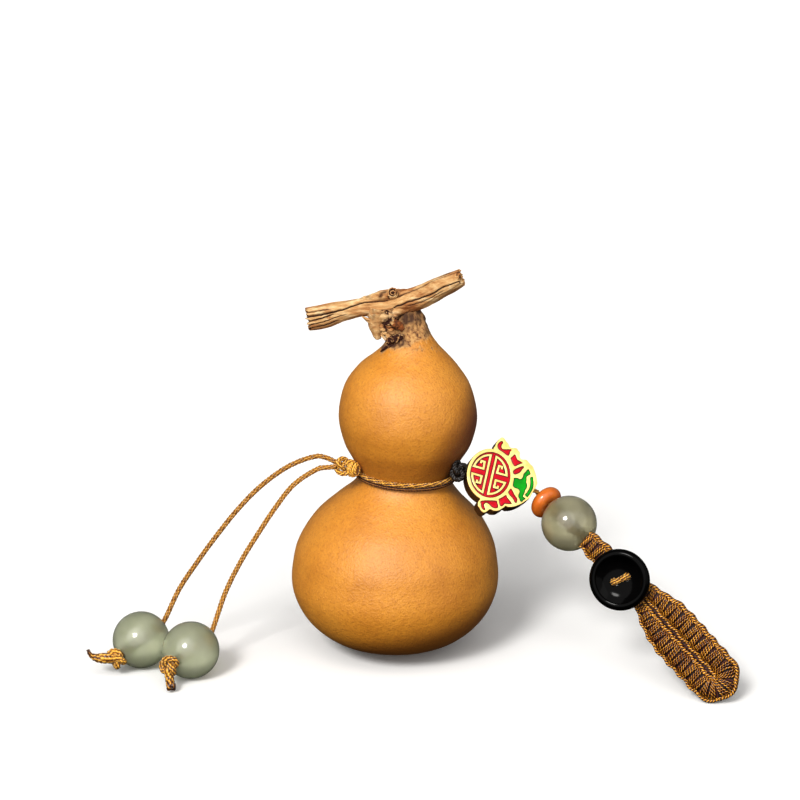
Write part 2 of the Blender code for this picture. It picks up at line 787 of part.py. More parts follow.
def make_loop(collection, material):
    """The knotted loop, swept flat in its own plane and then placed."""
    start = braid_end()
    run = Vector(LOOP_END_MIDDLE) - start
    stations = smooth_through(loop_line(run.length), 64)
    line = [(along, across, 0.0) for along, across, _ in stations]
    total = sum((b - a).length for a, b in zip(stations, stations[1:]))
    radii = []
    for i, (_, _, width) in enumerate(stations):
        radii.append(scallop(total * i / (len(line) - 1)) * width / LOOP_WIDTH)
    section = braid_section(LOOP_WIDTH, LOOP_THICK)
    band = curve_tube(line, radii, section=section, flat=True)
    placed(band, Matrix.Translation(start) @ turn_between(run, BUTTON_FACE))
    band = as_mesh(band)
    bpy.data.objects.remove(section, do_unlink=True)
    finish_object(band, "loop_braid", collection, material)


def make_materials():
    return {
        "gourd": principled("gourd", (0.55, 0.29, 0.10), 0.45),
        "cord": principled("cord", (0.45, 0.24, 0.04), 0.60),
        "dark_cord": principled("dark_cord", (0.03, 0.02, 0.015), 0.60),
        "jade": principled("jade", (0.45, 0.52, 0.42), 0.20),
        "gilt": principled("gilt", (0.86, 0.72, 0.36), 0.30, 1.0),
        "coral": principled("coral", (0.60, 0.18, 0.03), 0.25),
        "black": principled("black", (0.01, 0.01, 0.01), 0.12),
    }


def main():
    clear_scene()
    parts = bpy.data.collections.new(NAME)
    bpy.context.scene.collection.children.link(parts)
    materials = make_materials()
    make_gourd(parts, materials["gourd"])
    make_waist_cord("upper", parts, materials["cord"])
    make_waist_cord("lower", parts, materials["dark_cord"])
    make_tail_knot(parts, materials["cord"])
    for side, spec in TAILS.items():
        make_tail(side, spec, parts, materials)
    make_strap_knot(parts, materials["dark_cord"])
    make_plate(parts, materials["gilt"])
    make_strap_cord(parts, materials["cord"])
    make_rondelle(parts, materials["coral"])
    make_strap_bead(parts, materials["jade"])
    make_strap_braid(parts, materials["cord"])
    make_button(parts, materials["black"])
    make_stitch(parts, materials["cord"])
    make_loop(parts, materials["cord"])


main()
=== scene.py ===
"""The looks of the dried bottle gourd: skin, vine, cords, beads, plate, button and knotted loop.

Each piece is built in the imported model's frame: metres, +Z up, -Y the front. Every mesh keeps its
place in its own points, so object coordinates in a material are places on the whole object.
"""

import math

import bmesh
import bpy
import numpy as np
from mathutils import Matrix, Vector, noise


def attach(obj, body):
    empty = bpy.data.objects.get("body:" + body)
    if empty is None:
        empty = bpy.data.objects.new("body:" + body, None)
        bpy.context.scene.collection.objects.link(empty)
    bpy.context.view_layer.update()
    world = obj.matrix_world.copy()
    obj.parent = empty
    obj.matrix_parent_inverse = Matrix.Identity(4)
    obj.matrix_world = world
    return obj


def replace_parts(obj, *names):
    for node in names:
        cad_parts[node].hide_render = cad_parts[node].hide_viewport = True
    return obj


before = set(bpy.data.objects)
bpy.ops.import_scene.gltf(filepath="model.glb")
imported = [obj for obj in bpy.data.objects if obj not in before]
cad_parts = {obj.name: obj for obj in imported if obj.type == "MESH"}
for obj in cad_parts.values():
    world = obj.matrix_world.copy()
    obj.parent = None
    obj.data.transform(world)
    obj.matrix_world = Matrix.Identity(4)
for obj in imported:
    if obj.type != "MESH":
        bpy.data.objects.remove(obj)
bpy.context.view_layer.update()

MM = 0.001
TAU = 2 * math.pi
chance = np.random.default_rng(7)


# ---------------------------------------------------------------- lines and surfaces


def unit(vectors):
    vectors = np.asarray(vectors, float)
    return vectors / np.linalg.norm(vectors, axis=-1, keepdims=True)


def travelled(points):
    """How far along the line each point is."""
    steps = np.linalg.norm(np.diff(points, axis=0), axis=1)
    return np.concatenate([[0.0], np.cumsum(steps)])


def evenly(points, count, closed=False):
    """The same line with count points at even steps."""
    if closed:
        points = np.vstack([points, points[:1]])
    along = travelled(points)
    wanted = np.linspace(0, along[-1], count + 1 if closed else count)
    wanted = wanted[:count]
    return np.stack([np.interp(wanted, along, column) for column in points.T], axis=1)


def smooth_through(stations, count, closed=False):
    """count points at even steps along a smooth curve through the stations, of any dimension."""
    stations = np.array(stations, float)
    if closed:
        padded = np.vstack([stations[-1:], stations, stations[:2]])
    else:
        padded = np.vstack([2 * stations[0] - stations[1], stations, 2 * stations[-1] - stations[-2]])
    t = np.linspace(0, 1, 16, endpoint=False)[:, None]
    fine = []
    for a, b, c, d in zip(padded, padded[1:], padded[2:], padded[3:]):
        curve = 2 * b + (c - a) * t + (2 * a - 5 * b + 4 * c - d) * t**2 + (3 * b - a - 3 * c + d) * t**3
        fine.append(0.5 * curve)
    if not closed:
        fine.append(padded[-2:-1])
    return evenly(np.vstack(fine), count, closed)


def frames_along(points, closed=False):
    """Tangents, and two directions across the line that turn as little as they can along it."""
    if closed:
        tangents = unit(np.roll(points, -1, 0) - np.roll(points, 1, 0))
    else:
        tangents = unit(np.gradient(points, axis=0))
    first = np.cross(tangents[0], (0.0, 0.0, 1.0))
    if np.linalg.norm(first) < 1e-3:
        first = np.array((1.0, 0.0, 0.0))
    sides = [unit(first)]
    for tangent in tangents[1:]:
        side = sides[-1] - tangent * (sides[-1] @ tangent)
        sides.append(side / np.linalg.norm(side))
    sides = np.array(sides)
    ups = np.cross(tangents, sides)
    if closed:
        last = sides[-1] - tangents[0] * (sides[-1] @ tangents[0])
        gap = math.atan2(last @ ups[0], last @ sides[0])
        turn = -gap * np.arange(len(points)) / len(points)
        turned = sides * np.cos(turn)[:, None] + ups * np.sin(turn)[:, None]
        ups = ups * np.cos(turn)[:, None] - sides * np.sin(turn)[:, None]
        sides = turned
    return tangents, sides, ups


class Shape:
    """Gathers surfaces into one mesh, with a UV at each corner and a tone at each point."""

    def __init__(self):
        self.points, self.faces, self.corners, self.tones = [], [], [], []
        self.size = 0

    def grid(self, points, u, v, tone=0.0, around=True, along=False, caps=False):
        """Rings of points: u runs from ring to ring and v round each ring."""
        rings, sides = points.shape[:2]
        i, j = np.meshgrid(
            np.arange(rings if along else rings - 1), np.arange(sides if around else sides - 1), indexing="ij"
        )
        ni, nj = (i + 1) % rings, (j + 1) % sides
        quads = np.stack([i * sides + j, i * sides + nj, ni * sides + nj, ni * sides + j], -1).reshape(-1, 4)
        corners = np.stack(
            [np.stack([u[a], v[b]], -1) for a, b in ((i, j), (i, j + 1), (i + 1, j + 1), (i + 1, j))], -2
        )
        self.faces.append(quads + self.size)
        self.corners.append(corners.reshape(-1, 2))
        if caps:
            ring = np.arange(sides)
            for start, order, end in ((0, ring[::-1], 0), ((rings - 1) * sides, ring, -1)):
                self.faces.append((order + start + self.size)[None])
                self.corners.append(np.tile((u[end], 0.5), (sides, 1)))
        self.points.append(points.reshape(-1, 3))
        self.tones.append(np.broadcast_to(tone, (rings, sides)).ravel())
        self.size += rings * sides

    def finish(self, name, material, *replaced, slot=None, sharp=None):
        """Makes the piece, puts it on the one body and hides the parts of the model that it stands for."""
        mesh = bpy.data.meshes.new(name)
        points = np.concatenate(self.points)
        mesh.vertices.add(len(points))
        mesh.vertices.foreach_set("co", points.ravel())
        loops = np.concatenate([f.ravel() for f in self.faces])
        mesh.loops.add(len(loops))
        mesh.loops.foreach_set("vertex_index", loops)
        sizes = np.concatenate([np.full(len(f), f.shape[1]) for f in self.faces])
        mesh.polygons.add(len(sizes))
        mesh.polygons.foreach_set("loop_start", np.concatenate([[0], np.cumsum(sizes)[:-1]]))
        mesh.uv_layers.new(name="UVMap").data.foreach_set("uv", np.concatenate(self.corners).ravel())
        tones = mesh.attributes.new("tone", "FLOAT", "POINT")
        tones.data.foreach_set("value", np.concatenate(self.tones))
        mesh.update(calc_edges=True)
        return as_piece(mesh, name, material, *replaced, slot=slot, sharp=sharp)


def as_piece(mesh, name, material, *replaced, slot=None, sharp=None):
    """A named piece of the object from a mesh."""
    mesh.name = name
    thing = bpy.data.objects.new(name, mesh)
    bpy.context.scene.collection.objects.link(thing)
    mesh.materials.clear()
    mesh.materials.append(material)
    mesh.shade_smooth()
    if sharp:
        mesh.set_sharp_from_angle(angle=math.radians(sharp))
    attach(thing, "root")
    if replaced:
        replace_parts(thing, *replaced)
    return thing


def tube(shape, points, radius, sides=7, closed=False, tone=0.0):
    """A round strand along points, with one radius or one for each point."""
    _, side, up = frames_along(points, closed)
    angle = TAU * np.arange(sides) / sides
    ring = np.cos(angle)[None, :, None] * side[:, None] + np.sin(angle)[None, :, None] * up[:, None]
    radius = np.broadcast_to(radius, len(points))
    u = travelled(np.vstack([points, points[:1]])) / MM
    tone = np.broadcast_to(tone, len(points))[:, None]
    v = np.arange(sides + 1) / sides
    rings = points[:, None] + ring * radius[:, None, None]
    shape.grid(rings, u, v, tone, along=closed, caps=not closed)


def plied(shape, points, radius, pitch, plies=3, sides=7, closed=False, tone=0.0, fill=0.52):
    """A twisted cord: plies wound round the line, one turn in each pitch."""
    length = travelled(np.vstack([points, points[:1]]) if closed else points)[-1]
    turns = max(1, round(length / pitch)) if closed else length / pitch
    line = evenly(points, max(int(turns * 11), 8), closed)
    _, side, up = frames_along(line, closed)
    share = np.arange(len(line)) / (len(line) if closed else len(line) - 1)
    radius, tone = (np.interp(share, np.linspace(0, 1, np.size(v)), np.atleast_1d(v)) for v in (radius, tone))
    for ply in range(plies):
        angle = TAU * (turns * share + ply / plies)
        out = np.cos(angle)[:, None] * side + np.sin(angle)[:, None] * up
        strand = line + out * (radius * (1 - fill))[:, None]
        tube(shape, strand, radius * fill, sides, closed, tone + chance.uniform(-0.12, 0.12))


def turn_to(axis, across=None):
    """A 3 x 3 turn whose columns are X, Y and Z, with Z along axis and X near across."""
    z = unit(axis)
    across = np.array(across if across is not None else ((1, 0, 0) if abs(z[0]) < 0.8 else (0, 1, 0)), float)
    x = unit(across - z * (across @ z))
    return np.stack([x, np.cross(z, x), z], axis=1)


def lathe(shape, profile, sides, place=(0, 0, 0), turn=None, tone=0.0):
    """A surface turned about Z from (radius, height), its outer side from top to bottom."""
    profile = np.array(profile, float)[::-1]
    angle = TAU * np.arange(sides) / sides
    ring = np.stack([np.cos(angle), np.sin(angle), np.zeros(sides)], axis=-1)
    points = profile[:, None, :1] * ring[None] + profile[:, None, 1:] * np.array((0, 0, 1.0))
    if turn is not None:
        points = points @ turn.T
    u = travelled(profile) / MM
    tone = np.broadcast_to(tone, len(profile))[::-1][:, None]
    shape.grid(points + np.array(place), u, np.arange(sides + 1) / sides, tone)


def wobble(points, scale, octaves=3, seed=0.0):
    """Smooth noise from -1 to 1 at each point."""
    flat = np.asarray(points, float).reshape(-1, 3) * scale + seed
    values = [noise.fractal(Vector(p), 1.0, 2.0, octaves) for p in flat]
    return np.array(values).reshape(np.shape(points)[:-1])


# ---------------------------------------------------------------- materials


class Paint:
    """One material, and the nodes that are added to it. A socket's name has _ for a space."""

    def __init__(self, name, **plain):
        self.material = bpy.data.materials.new(name)
        self.material.use_nodes = True
        self.tree = self.material.node_tree
        self.shader = self.tree.nodes["Principled BSDF"]
        for socket, value in plain.items():
            self.shader.inputs[socket.replace("_", " ")].default_value = value

    def add(self, kind, inputs, output=0, **settings):
        node = self.tree.nodes.new("ShaderNode" + kind)
        for key, value in settings.items():
            setattr(node, key, value)
        for key, value in inputs.items():
            if isinstance(value, bpy.types.NodeSocket):
                self.tree.links.new(value, node.inputs[key])
            else:
                node.inputs[key].default_value = value
        return node.outputs[output]

    def places(self, stretch=(1, 1, 1)):
        place = self.add("TexCoord", {}, "Object")
        return self.add("Mapping", {"Vector": place, "Scale": stretch})

    def noise(self, scale, detail=3.0, rough=0.55, stretch=(1, 1, 1), vector=None):
        vector = vector or self.places(stretch)
        return self.add("TexNoise", {"Vector": vector, "Scale": scale, "Detail": detail, "Roughness": rough})

    def tone(self):
        """The tone of each point, which a mix keeps between 0 and 1."""
        return self.add("Attribute", {}, "Fac", attribute_name="tone")

    def ramp(self, factor, *stops):
        """A colour for each stop: (place, (red, green, blue)) or (place, grey)."""
        node = self.tree.nodes.new("ShaderNodeValToRGB")
        self.tree.links.new(factor, node.inputs["Fac"])
        elements = node.color_ramp.elements
        while len(elements) < len(stops):
            elements.new(0.5)
        for element, (place, colour) in zip(elements, stops):
            element.position = place
            element.color = (*colour, 1.0) if isinstance(colour, tuple) else (colour,) * 3 + (1.0,)
        return node.outputs["Color"]

    def mix(self, factor, a, b, blend="MIX"):
        a, b = ((*c, 1.0) if isinstance(c, tuple) else c for c in (a, b))
        return self.add("Mix", {0: factor, 6: a, 7: b}, 2, data_type="RGBA", blend_type=blend)

    def math(self, operation, a, b=0.0):
        return self.add("Math", {0: a, 1: b}, operation=operation)

    def stripes(self, along, round_, sharpness=1.0):
        """0 to 1 waves that wind round a strand: waves for each mm along it, and for each turn."""
        parts = self.add("UVMap", {})
        node = self.tree.nodes.new("ShaderNodeSeparateXYZ")
        self.tree.links.new(parts, node.inputs[0])
        phase = self.math("ADD", self.math("MULTIPLY", node.outputs[0], along), self.math("MULTIPLY", node.outputs[1], round_))
        wave = self.math("SINE", self.math("MULTIPLY", phase, TAU))
        half = self.math("MULTIPLY", wave, 0.5)
        return self.math("POWER", self.math("ADD", half, 0.5), sharpness)

    def bump(self, height, distance, strength=1.0, under=None):
        inputs = {"Height": height, "Distance": distance, "Strength": strength}
        if under:
            inputs["Normal"] = under
        return self.add("Bump", inputs)

    def wear(self, **sockets):
        """Links node outputs to the shader, and gives back the material."""
        for socket, value in sockets.items():
            self.tree.links.new(value, self.shader.inputs[socket.replace("_", " ")])
        return self.material


def skin_paint():
    paint = Paint("gourd_skin", Roughness=0.54, Specular_IOR_Level=0.75, Coat_Weight=0.10, Coat_Roughness=0.5)
    broad = paint.noise(90, 3)
    fine = paint.noise(900, 4, 0.6)
    grain = paint.noise(2300, 2, 0.5)
    tan = paint.ramp(broad, (0.30, (0.53, 0.212, 0.016)), (0.52, (0.62, 0.262, 0.023)), (0.75, (0.67, 0.30, 0.034)))
    tan = paint.mix(paint.ramp(fine, (0.35, 0.0), (0.72, 0.35)), tan, (0.42, 0.145, 0.014))
    tan = paint.mix(paint.ramp(grain, (0.52, 0.0), (0.70, 0.45)), tan, (0.36, 0.125, 0.010))
    # Below nought the tone darkens the skin with painted shade. Up to one it turns the skin to cork, as at the stalk,
    # and from there to two it darkens the cork with painted shade.
    tan = paint.mix(paint.math("MULTIPLY", paint.tone(), -1.0), tan, (0.17, 0.042, 0.004))
    mottle = paint.ramp(
        paint.noise(1500, 4, 0.7),
        (0.36, (0.10, 0.035, 0.012)),
        (0.45, (0.40, 0.20, 0.070)),
        (0.60, (0.55, 0.32, 0.12)),
    )
    mottle = paint.mix(paint.math("SUBTRACT", paint.tone(), 1.0), mottle, (0.065, 0.024, 0.007))
    colour = paint.mix(paint.tone(), tan, mottle)
    height = paint.mix(0.5, grain, fine)
    rough = paint.ramp(paint.tone(), (0.0, 0.54), (0.6, 1.0))
    return paint.wear(Base_Color=colour, Roughness=rough, Normal=paint.bump(height, 0.00026, 0.8))


def wood_paint():
    paint = Paint("vine_wood", Roughness=0.78, Specular_IOR_Level=0.25)
    grain = paint.noise(900, 5, 0.7, stretch=(0.16, 1, 1))
    patches = paint.noise(330, 3, 0.6, stretch=(0.5, 1, 1))
    wood = paint.ramp(
        grain,
        (0.30, (0.22, 0.085, 0.025)),
        (0.43, (0.47, 0.25, 0.10)),
        (0.54, (0.57, 0.36, 0.165)),
        (0.68, (0.78, 0.60, 0.36)),
    )
    rust = paint.mix(0.8, wood, (0.60, 0.27, 0.07), "MULTIPLY")
    wood = paint.mix(paint.ramp(patches, (0.50, 0.0), (0.62, 0.7)), wood, rust)
    # The tone darkens the wood: painted shade in the grooves and hollows, in the crease and the pit and under the
    # scales, and real dark colour on the torn ends and the knob's rings.
    dark = paint.ramp(paint.tone(), (0.05, 0.0), (0.75, 1.0))
    wood = paint.mix(dark, wood, (0.035, 0.008, 0.004))
    return paint.wear(Base_Color=wood, Normal=paint.bump(grain, 0.0004, 0.7))


def thread_paint(name, bright, middle, deep, rough=0.38, sheen=0.3):
    """Twisted silky thread, with a painted highlight along each ply and painted shade between the plies. tone makes a
    strand lighter or darker.
    """
    paint = Paint(name, Roughness=rough, Specular_IOR_Level=0.6, Sheen_Weight=sheen, Sheen_Roughness=0.4)
    # The stripes paint a highlight along each ply and shade between the plies.
    lines = paint.stripes(1.5, 2.0, 1.3)
    speck = paint.noise(1900, 3, 0.65)
    share = paint.math("ADD", paint.math("MULTIPLY", lines, 0.62), paint.math("MULTIPLY", speck, 0.55))
    share = paint.math("ADD", share, paint.tone())
    colour = paint.ramp(share, (0.22, deep), (0.55, middle), (0.86, bright))
    return paint.wear(Base_Color=colour, Normal=paint.bump(lines, 0.00010, 0.7))


def jade_paint(name, pale, deep, transmission):
    paint = Paint(
        name,
        Roughness=0.40,
        IOR=1.45,
        Transmission_Weight=transmission,
        Subsurface_Weight=0.9,
        Subsurface_Radius=(1.0, 1.0, 0.8),
        Subsurface_Scale=0.0028,
        Coat_Weight=1.0,
        Coat_Roughness=0.05,
    )
    cloud = paint.noise(170, 4, 0.55)
    colour = paint.ramp(cloud, (0.35, deep), (0.65, pale))
    veins = paint.noise(700, 3, 0.6)
    colour = paint.mix(paint.ramp(veins, (0.50, 0.0), (0.72, 0.35)), colour, pale)
    return paint.wear(Base_Color=colour, Normal=paint.bump(paint.noise(1200, 2), 0.00002, 0.15))


def gloss_paint(name, colour, other, scale, bump=0.00004, **plain):
    """A hard surface whose colour drifts between two close ones."""
    paint = Paint(name, **plain)
    drift = paint.noise(scale, 3)
    fine = paint.noise(scale * 7, 3, 0.6)
    shade = paint.ramp(drift, (0.35, other), (0.65, colour))
    return paint.wear(Base_Color=shade, Normal=paint.bump(fine, bump, 0.4))


GOLD_BRIGHT = (0.86, 0.50, 0.07)
GOLD_MIDDLE = (0.46, 0.19, 0.018)
GOLD_DEEP = (0.05, 0.014, 0.003)

skin_look = skin_paint()
wood_look = wood_paint()
gold_thread = thread_paint("gold_thread", GOLD_BRIGHT, GOLD_MIDDLE, GOLD_DEEP)
loop_thread = thread_paint("loop_thread", (1.0, 0.53, 0.05), (0.31, 0.092, 0.005), (0.022, 0.004, 0.002), 0.28, 0.0)
tail_thread = thread_paint("tail_thread", (0.60, 0.31, 0.05), (0.36, 0.155, 0.018), (0.14, 0.050, 0.008), 0.40, 0.1)
# Painted shade for the cord of the knot by the plate.
dark_thread = thread_paint("dark_thread", (0.024, 0.014, 0.010), (0.007, 0.004, 0.003), (0.002, 0.001, 0.001), 0.5, 0.0)
# Painted shade between the knots, on the core under them.
core_and_shade_thread = thread_paint("core_and_shade_thread", (0.09, 0.014, 0.008), (0.030, 0.005, 0.003), (0.006, 0.002, 0.002), 0.7, 0.0)
# Painted shade for the lower turn round the waist.
waist_thread = thread_paint("waist_thread", (0.30, 0.12, 0.02), (0.080, 0.022, 0.007), (0.012, 0.003, 0.002), 0.5, 0.0)
jade_look = jade_paint("jade", (0.60, 0.62, 0.47), (0.50, 0.53, 0.37), 0.72)
clear_jade = jade_paint("clear_jade", (0.52, 0.49, 0.34), (0.38, 0.36, 0.22), 0.80)
gilt_look = gloss_paint("gilt", (0.93, 0.76, 0.30), (0.86, 0.62, 0.20), 500, Metallic=0.45, Roughness=0.34)
# Painted shade for the plate's side walls.
shaded_gilt_look = gloss_paint("shaded_gilt", (0.050, 0.020, 0.010), (0.018, 0.007, 0.005), 700, Metallic=0.3, Roughness=0.42)
# Painted shade for the red enamel at the gold.
red_enamel_edge_shade = gloss_paint("red_enamel_edge_shade", (0.10, 0.003, 0.006), (0.05, 0.002, 0.004), 600, Roughness=0.25)
red_enamel = gloss_paint("red_enamel", (0.56, 0.005, 0.020), (0.42, 0.003, 0.013), 600, Roughness=0.2, Specular_IOR_Level=0.15)
green_enamel = gloss_paint("green_enamel", (0.004, 0.34, 0.012), (0.003, 0.25, 0.010), 600, Roughness=0.2, Specular_IOR_Level=0.15)
# Painted shade for the green enamel at the gold.
green_edge_shade = gloss_paint("green_enamel_edge_shade", (0.004, 0.10, 0.025), (0.003, 0.06, 0.02), 600, Roughness=0.2, Specular_IOR_Level=0.15)
coral_look = gloss_paint("coral", (0.66, 0.185, 0.025), (0.50, 0.12, 0.015), 380, Roughness=0.2, Coat_Weight=0.4)
rust_look = gloss_paint("rusty_wood", (0.30, 0.090, 0.016), (0.09, 0.026, 0.006), 1300, 0.0004, Roughness=0.9)
black_look = gloss_paint(
    "black", (0.0012, 0.0010, 0.0010), (0.0006, 0.0006, 0.0006), 300, 0.00001, Roughness=0.12, Specular_IOR_Level=0.075
)


# ---------------------------------------------------------------- camera


def make_camera():
    data = bpy.data.cameras.new("camera")
    data.lens = 109.28
    data.sensor_width = 36.0
    data.clip_start = 0.01
    data.clip_end = 20.0
    camera = bpy.data.objects.new("camera", data)
    bpy.context.scene.collection.objects.link(camera)
    camera.location = (0.0011, -0.49728, 0.20888)
    aim = Vector((0.0011, 0.0, 0.05685)) - camera.location
    camera.rotation_euler = aim.to_track_quat("-Z", "Y").to_euler()
    bpy.context.scene.camera = camera


make_camera()


# ---------------------------------------------------------------- the tail cords, beads and end knots

CORD_RADIUS = 0.00058
BEAD_RADIUS = 0.0061
END_KNOT_STEP = 0.00755
TAILS = {
    "back": {
        "bead": (-0.0548, -0.0110, 0.0061),
        "axis": (-0.64, -0.71, -0.29),
        "route": (
            (-0.0137, -0.0048, 0.0450),
            (-0.0167, -0.0042, 0.0456),
            (-0.0227, -0.0037, 0.0432),
            (-0.0290, -0.0037, 0.0385),
            (-0.0342, -0.0039, 0.0330),
            (-0.0389, -0.0042, 0.0270),
            (-0.0428, -0.0043, 0.0215),
            (-0.0469, -0.0043, 0.0152),
            (-0.0504, -0.0052, 0.0100),
        ),
        "knot_spin": 20,
        "end_thick": 0.95,
        "end_tone": (0.0, 0.0, -0.1, -0.5),
        "end": (
            (-0.0604, -0.0166, 0.0041, 0.0012),
            (-0.0622, -0.0169, 0.0043, 0.0013),
            (-0.0637, -0.0172, 0.0045, 0.0010),
            (-0.0649, -0.0174, 0.0052, 0.0006),
            (-0.0655, -0.0174, 0.0064, 0.0004),
        ),
    },
    "front": {
        "bead": (-0.0436, -0.0167, 0.0061),
        "axis": (-0.54, -0.83, -0.11),
        "route": (
            (-0.0136, -0.0063, 0.0437),
            (-0.0163, -0.0060, 0.0434),
            (-0.0216, -0.0057, 0.0397),
            (-0.0257, -0.0058, 0.0344),
            (-0.0294, -0.0064, 0.0288),
            (-0.0332, -0.0069, 0.0226),
            (-0.0367, -0.0074, 0.0155),
            (-0.0400, -0.0090, 0.0096),
        ),
        "knot_spin": 65,
        "end_thick": 1.15,
        "end_tone": (0.0, 0.0, -0.1, -0.3),
        "end": (
            (-0.0477, -0.0234, 0.0046, 0.0011),
            (-0.0476, -0.0240, 0.0031, 0.0009),
            (-0.0474, -0.0246, 0.0020, 0.0009),
            (-0.0470, -0.0256, 0.0012, 0.0010),
        ),
    },
}


def bead_profile(radius, bore, steps=44):
    """A ball's outer side from its top to its bottom, closed through its bore."""
    start = math.asin(bore / radius)
    lip = 0.12
    angles = np.linspace(start + lip / 2, math.pi - start - lip / 2, steps)
    outer = np.stack([radius * np.sin(angles), radius * np.cos(angles)], axis=1)
    top = radius * math.cos(start)
    mouth = [(bore, top * 0.90), (bore * 1.02, top * 0.985), (bore * 1.25, top * 1.000)]
    inner = [(r, -z) for r, z in reversed(mouth)]
    return np.vstack([mouth, outer, inner, [(bore, 0.0)]])


def make_bead(name, place, axis, radius, material, slot="jade", bore=0.0010):
    shape = Shape()
    profile = bead_profile(radius, bore)
    closed = np.vstack([profile, profile[:1]])
    lathe(shape, closed, 72, place, turn_to(axis))
    return shape.finish(name, material, name.replace("bead_look", "bead"), slot=slot)


def knot_line(place, turn, reach, strand, count=90):
    """A tight overhand knot's line, closed on itself."""
    t = TAU * np.arange(count) / count
    ring = 2.0 + np.cos(3 * t)
    line = np.stack([ring * np.cos(2 * t), ring * np.sin(2 * t), 1.2 * np.sin(3 * t)], axis=1)
    scale = np.array(reach) / (3.0 + strand)
    return (line * scale) @ turn.T + np.array(place)


def spun(turn, degrees):
    a = math.radians(degrees)
    spin = np.array([[math.cos(a), -math.sin(a), 0], [math.sin(a), math.cos(a), 0], [0, 0, 1]])
    return turn @ spin


def make_tail(side, spec):
    place, axis = np.array(spec["bead"]), unit(spec["axis"])
    bead = make_bead("tail_bead_look_" + side, place, axis, BEAD_RADIUS, jade_look)
    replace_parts(bead, "tail_bead_" + side)

    knot = Shape()
    middle = place + axis * END_KNOT_STEP
    line = knot_line(middle, spun(turn_to(axis), spec["knot_spin"]), (0.0025, 0.0022, 0.0023), 0.74)
    plied(knot, line, 0.00072, 0.0024, closed=True)
    end = smooth_through(spec["end"], 40)
    plied(knot, end[:, :3], end[:, 3] * spec["end_thick"], 0.0024, tone=spec["end_tone"])
    knot = knot.finish("end_knot_look_" + side, gold_thread, "end_knot_" + side, slot="cord")

    through = [place + axis * BEAD_RADIUS * share for share in (-1.10, -0.5, 0.5, 1.02)]
    path = smooth_through([(-0.0118, -0.0057, 0.0443), *spec["route"][:-1], *through], 44)
    cord = Shape()
    plied(cord, path, CORD_RADIUS, 0.0024)
    cord = cord.finish("tail_cord_look_" + side, tail_thread, "tail_cord_" + side, slot="cord")


for tail_side, tail_spec in TAILS.items():
    make_tail(tail_side, tail_spec)


# ---------------------------------------------------------------- the strap

STRAP_BEAD_PLACE = np.array((0.0371, -0.0105, 0.0326))
STRAP_BEAD_AXIS = unit((0.61, -0.70, -0.38))
STRAP_BEAD_RADIUS = 0.0059
RONDELLE_RADIUS = 0.0037
RONDELLE_THICK = 0.0030
RONDELLE_STEP = 0.0076
PLATE_MIDDLE = np.array((0.0200, -0.0057, 0.0414))
PLATE_AXIS = (0.950, 0.045, -0.308)
PLATE_FACE = np.array((0.205, -0.795, 0.570))
PLATE_BORE_LEVEL = -0.0001
STRAP_CORD_IN_PLATE = (-0.0056, -0.0020, 0.0030, 0.0080, 0.0101, 0.0109)
BUTTON_PLACE = np.array((0.0473, -0.0210, 0.0239))
BUTTON_FACE = unit((-0.32, -0.92, 0.22))
BRAID_END = BUTTON_PLACE - BUTTON_FACE * 0.0033
LOOP_END_MIDDLE = np.array((0.0665, -0.0293, 0.00566))
LOOP_ARM_OFFSET = 0.0029
LOOP_WIDTH = 0.0056
# Each arm from behind the button: along, across and how wide it is there.
LOOP_RIGHT_ARM = [(0.0012, 0.0014, 0.0025), (0.0048, 0.0018, 0.0032), (0.0090, 0.0024, 0.0043)]
LOOP_RIGHT_ARM.append((0.0134, LOOP_ARM_OFFSET, LOOP_WIDTH))
LOOP_LEFT_ARM = [(0.0012, -0.0013, 0.0024), (0.0062, -0.0013, 0.0024), (0.0106, -0.0023, 0.0042)]
LOOP_LEFT_ARM.append((0.0158, -LOOP_ARM_OFFSET, LOOP_WIDTH))


def plate_turn():
    """Columns: along the plate's hanging axis, across it, and out of its face."""
    x = unit(PLATE_AXIS)
    z = unit(PLATE_FACE - x * (PLATE_FACE @ x))
    return np.stack([x, np.cross(z, x), z], axis=1)


def make_strap_cord():
    half = STRAP_BEAD_AXIS * (RONDELLE_THICK / 2 + 0.0004)
    rondelle = STRAP_BEAD_PLACE - STRAP_BEAD_AXIS * RONDELLE_STEP
    turn = plate_turn()
    inside = [PLATE_MIDDLE + turn @ (x, 0.0, PLATE_BORE_LEVEL) for x in STRAP_CORD_IN_PLATE]
    far = STRAP_BEAD_PLACE + STRAP_BEAD_AXIS * (STRAP_BEAD_RADIUS + 0.0002)
    path = smooth_through([*inside, rondelle - half, rondelle, rondelle + half, STRAP_BEAD_PLACE, far], 30)
    shape = Shape()
    plied(shape, path, 0.0005, 0.0021)
    return shape.finish("strap_cord_look", gold_thread, "strap_cord", slot="cord"), path


def make_rondelle():
    """A flat round bead with full rounded edges and a small dish round its bore."""
    half = RONDELLE_THICK / 2
    angles = np.linspace(math.pi / 2, -math.pi / 2, 25)
    edge = [(RONDELLE_RADIUS - half + half * math.cos(a), half * math.sin(a)) for a in angles]
    top = [(0.0010, 0.0), (0.0010, half * 0.80), (0.0013, half * 0.95), (0.0017, half)]
    bottom = [(r, -z) for r, z in reversed(top)]
    shape = Shape()
    place = STRAP_BEAD_PLACE - STRAP_BEAD_AXIS * RONDELLE_STEP
    lathe(shape, [*top, *edge, *bottom], 64, place, turn_to(STRAP_BEAD_AXIS))
    return shape.finish("rondelle_look", coral_look, "rondelle", slot="coral")


